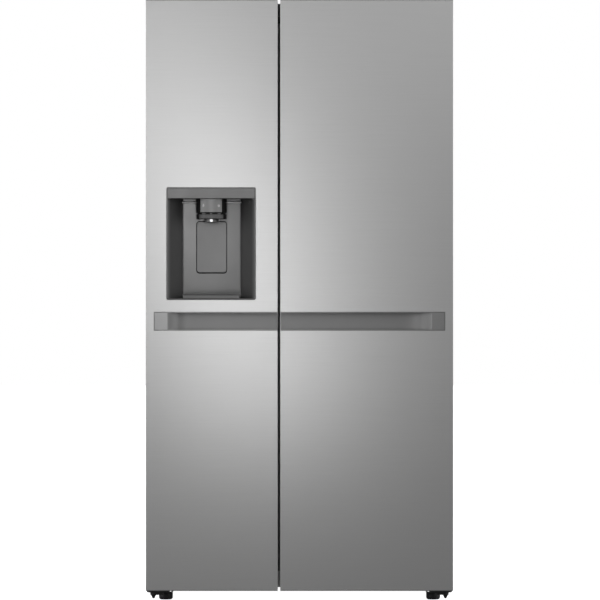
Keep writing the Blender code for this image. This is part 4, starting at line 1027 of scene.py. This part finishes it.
def wall_stud():
    """Small round cap in the niche's right side wall."""
    near = Vector((NICHE_X[1] - RIM - 0.0050, HOOK + 0.0060, CEILING - 0.0100))
    far = Vector((BACK_X[1] + 0.006, WALL_Y - 0.006, CEILING - 0.0100))
    profile = [(0, 0.004), (0.0034, 0.004), (0.0034, -0.0010), (0.0026, -0.0018), (0, -0.0018)]
    stud = lathe("stud", profile, near.lerp(far, 0.40), "x", steps=24)
    put("niche_stud", stud, DARK_METAL, DOOR)


shelf_trims()
drawer_grips()
bin_rails()
lamp_bezel()
back_beads()
back_flanges()
rear_cover()
hinge_cover_screws()
control_lid()
hinge_steps()
mullion_painted_shadow()
wall_stud()


# ------------------------------------------------------------------------------------------ studio
CAMERA_DISTANCE = 12.0
SEEN = 1.782  # width that the camera sees at the doors' front
CAMERA_X, CAMERA_Z = 0.0015, 0.899


def world():
    """A grey sky for reflections and fill light, and plain white where the camera looks past the object."""
    sky = bpy.data.worlds.new("studio")
    bpy.context.scene.world = sky
    sky.use_nodes = True
    nodes, links = sky.node_tree.nodes, sky.node_tree.links
    nodes.clear()
    height = nodes.new("ShaderNodeSeparateXYZ")
    links.new(nodes.new("ShaderNodeTexCoord").outputs["Generated"], height.inputs[0])
    ramp = nodes.new("ShaderNodeValToRGB")
    for at, level in ((0.0, 0.125), (0.5, 0.20), (0.75, 0.24), (1.0, 0.45)):
        stop = ramp.color_ramp.elements[0] if at == 0.0 else ramp.color_ramp.elements.new(at)
        stop.position, stop.color = at, (level, level, level, 1.0)
    span = nodes.new("ShaderNodeMapRange")
    span.inputs["From Min"].default_value = -1.0
    links.new(height.outputs["Z"], span.inputs["Value"])
    links.new(span.outputs["Result"], ramp.inputs[0])
    studio_light, backdrop = nodes.new("ShaderNodeBackground"), nodes.new("ShaderNodeBackground")
    links.new(ramp.outputs[0], studio_light.inputs[0])
    backdrop.inputs[0].default_value = (1.0, 1.0, 1.0, 1.0)
    mix = nodes.new("ShaderNodeMixShader")
    links.new(nodes.new("ShaderNodeLightPath").outputs["Is Camera Ray"], mix.inputs[0])
    links.new(studio_light.outputs[0], mix.inputs[1])
    links.new(backdrop.outputs[0], mix.inputs[2])
    links.new(mix.outputs[0], nodes.new("ShaderNodeOutputWorld").inputs[0])


def floor():
    """White floor that only the camera sees, so that it throws no light on the object."""
    obj = bpy.data.objects.new("floor", block("floor", (-30, 30), (-30, 30), (-0.05, -0.0002)))
    bpy.context.scene.collection.objects.link(obj)
    tree = Tree("pale_floor")
    tree.feed("Base Color", tree.blend(tree.noise(0.6), grey(0.86), grey(0.90)))
    tree.shader.inputs["Roughness"].default_value = 0.9
    tree.shader.inputs["Specular IOR Level"].default_value = 0.0
    tree.shader.inputs["Emission Color"].default_value = (1, 1, 1, 1)
    tree.shader.inputs["Emission Strength"].default_value = 0.97
    obj.data.materials.append(tree.material)
    obj.visible_glossy = obj.visible_diffuse = obj.visible_transmission = False


def softbox(name, at, aim, size, radiance, roll=0.0):
    """A rectangle of even light at a point, facing another. Roll turns it about its own beam, in degrees."""
    light = bpy.data.lights.new(name, "AREA")
    light.shape = "RECTANGLE"
    light.size, light.size_y = size
    light.energy = radiance * math.pi * size[0] * size[1]
    obj = bpy.data.objects.new(name, light)
    bpy.context.scene.collection.objects.link(obj)
    obj.location = at
    turn = (Vector(aim) - Vector(at)).to_track_quat("-Z", "Y")
    obj.rotation_euler = (turn @ Quaternion((0, 0, 1), math.radians(roll))).to_euler()
    obj.visible_camera = False


def lights():
    softbox("key", (-0.242, -1.794, 0.983), (-0.242, 0.0, 0.983), (0.331, 1.017), 3.77, 16.5)
    softbox("front_top", (0.631, -2.303, 2.6), (0.0, -0.3, 1.3), (1.672, 2.5), 0.693)
    softbox("upper_left", (-0.595, -2.0, 1.778), (-0.595, 0.0, 1.778), (0.6, 0.6), 1.69)
    softbox("lower_left", (-0.95, -2.0, 0.13), (-0.95, 0.0, 0.13), (0.5, 0.2), 0.6)
    softbox("front_left", (-3.4, -2.0, 1.3), (0.0, -0.3, 1.1), (2.0, 2.6), 2.2)
    softbox("front_right", (3.4, -2.0, 1.3), (0.0, -0.3, 1.1), (2.0, 2.6), 2.2)
    softbox("left", (-3.6, 0.4, 2.0), (0.0, 0.1, 1.0), (2.0, 2.4), 3.0)
    softbox("right", (3.6, 0.4, 2.0), (0.0, 0.1, 1.0), (2.0, 2.4), 3.0)
    softbox("back", (0.5, 3.8, 2.4), (0.0, 0.3, 1.0), (2.4, 2.0), 3.0)


def camera():
    """Level, straight at the doors, from far enough away that the picture has hardly any perspective."""
    lens = bpy.data.cameras.new("camera")
    eye = bpy.data.objects.new("camera", lens)
    bpy.context.scene.collection.objects.link(eye)
    lens.lens = CAMERA_DISTANCE / SEEN * lens.sensor_width
    lens.clip_end = 100.0
    eye.location = (CAMERA_X, FRONT - CAMERA_DISTANCE, CAMERA_Z)
    eye.rotation_euler = (math.pi / 2, 0, 0)
    bpy.context.scene.camera = eye


bpy.context.scene.view_settings.view_transform = "Standard"
world()
floor()
lights()
camera()
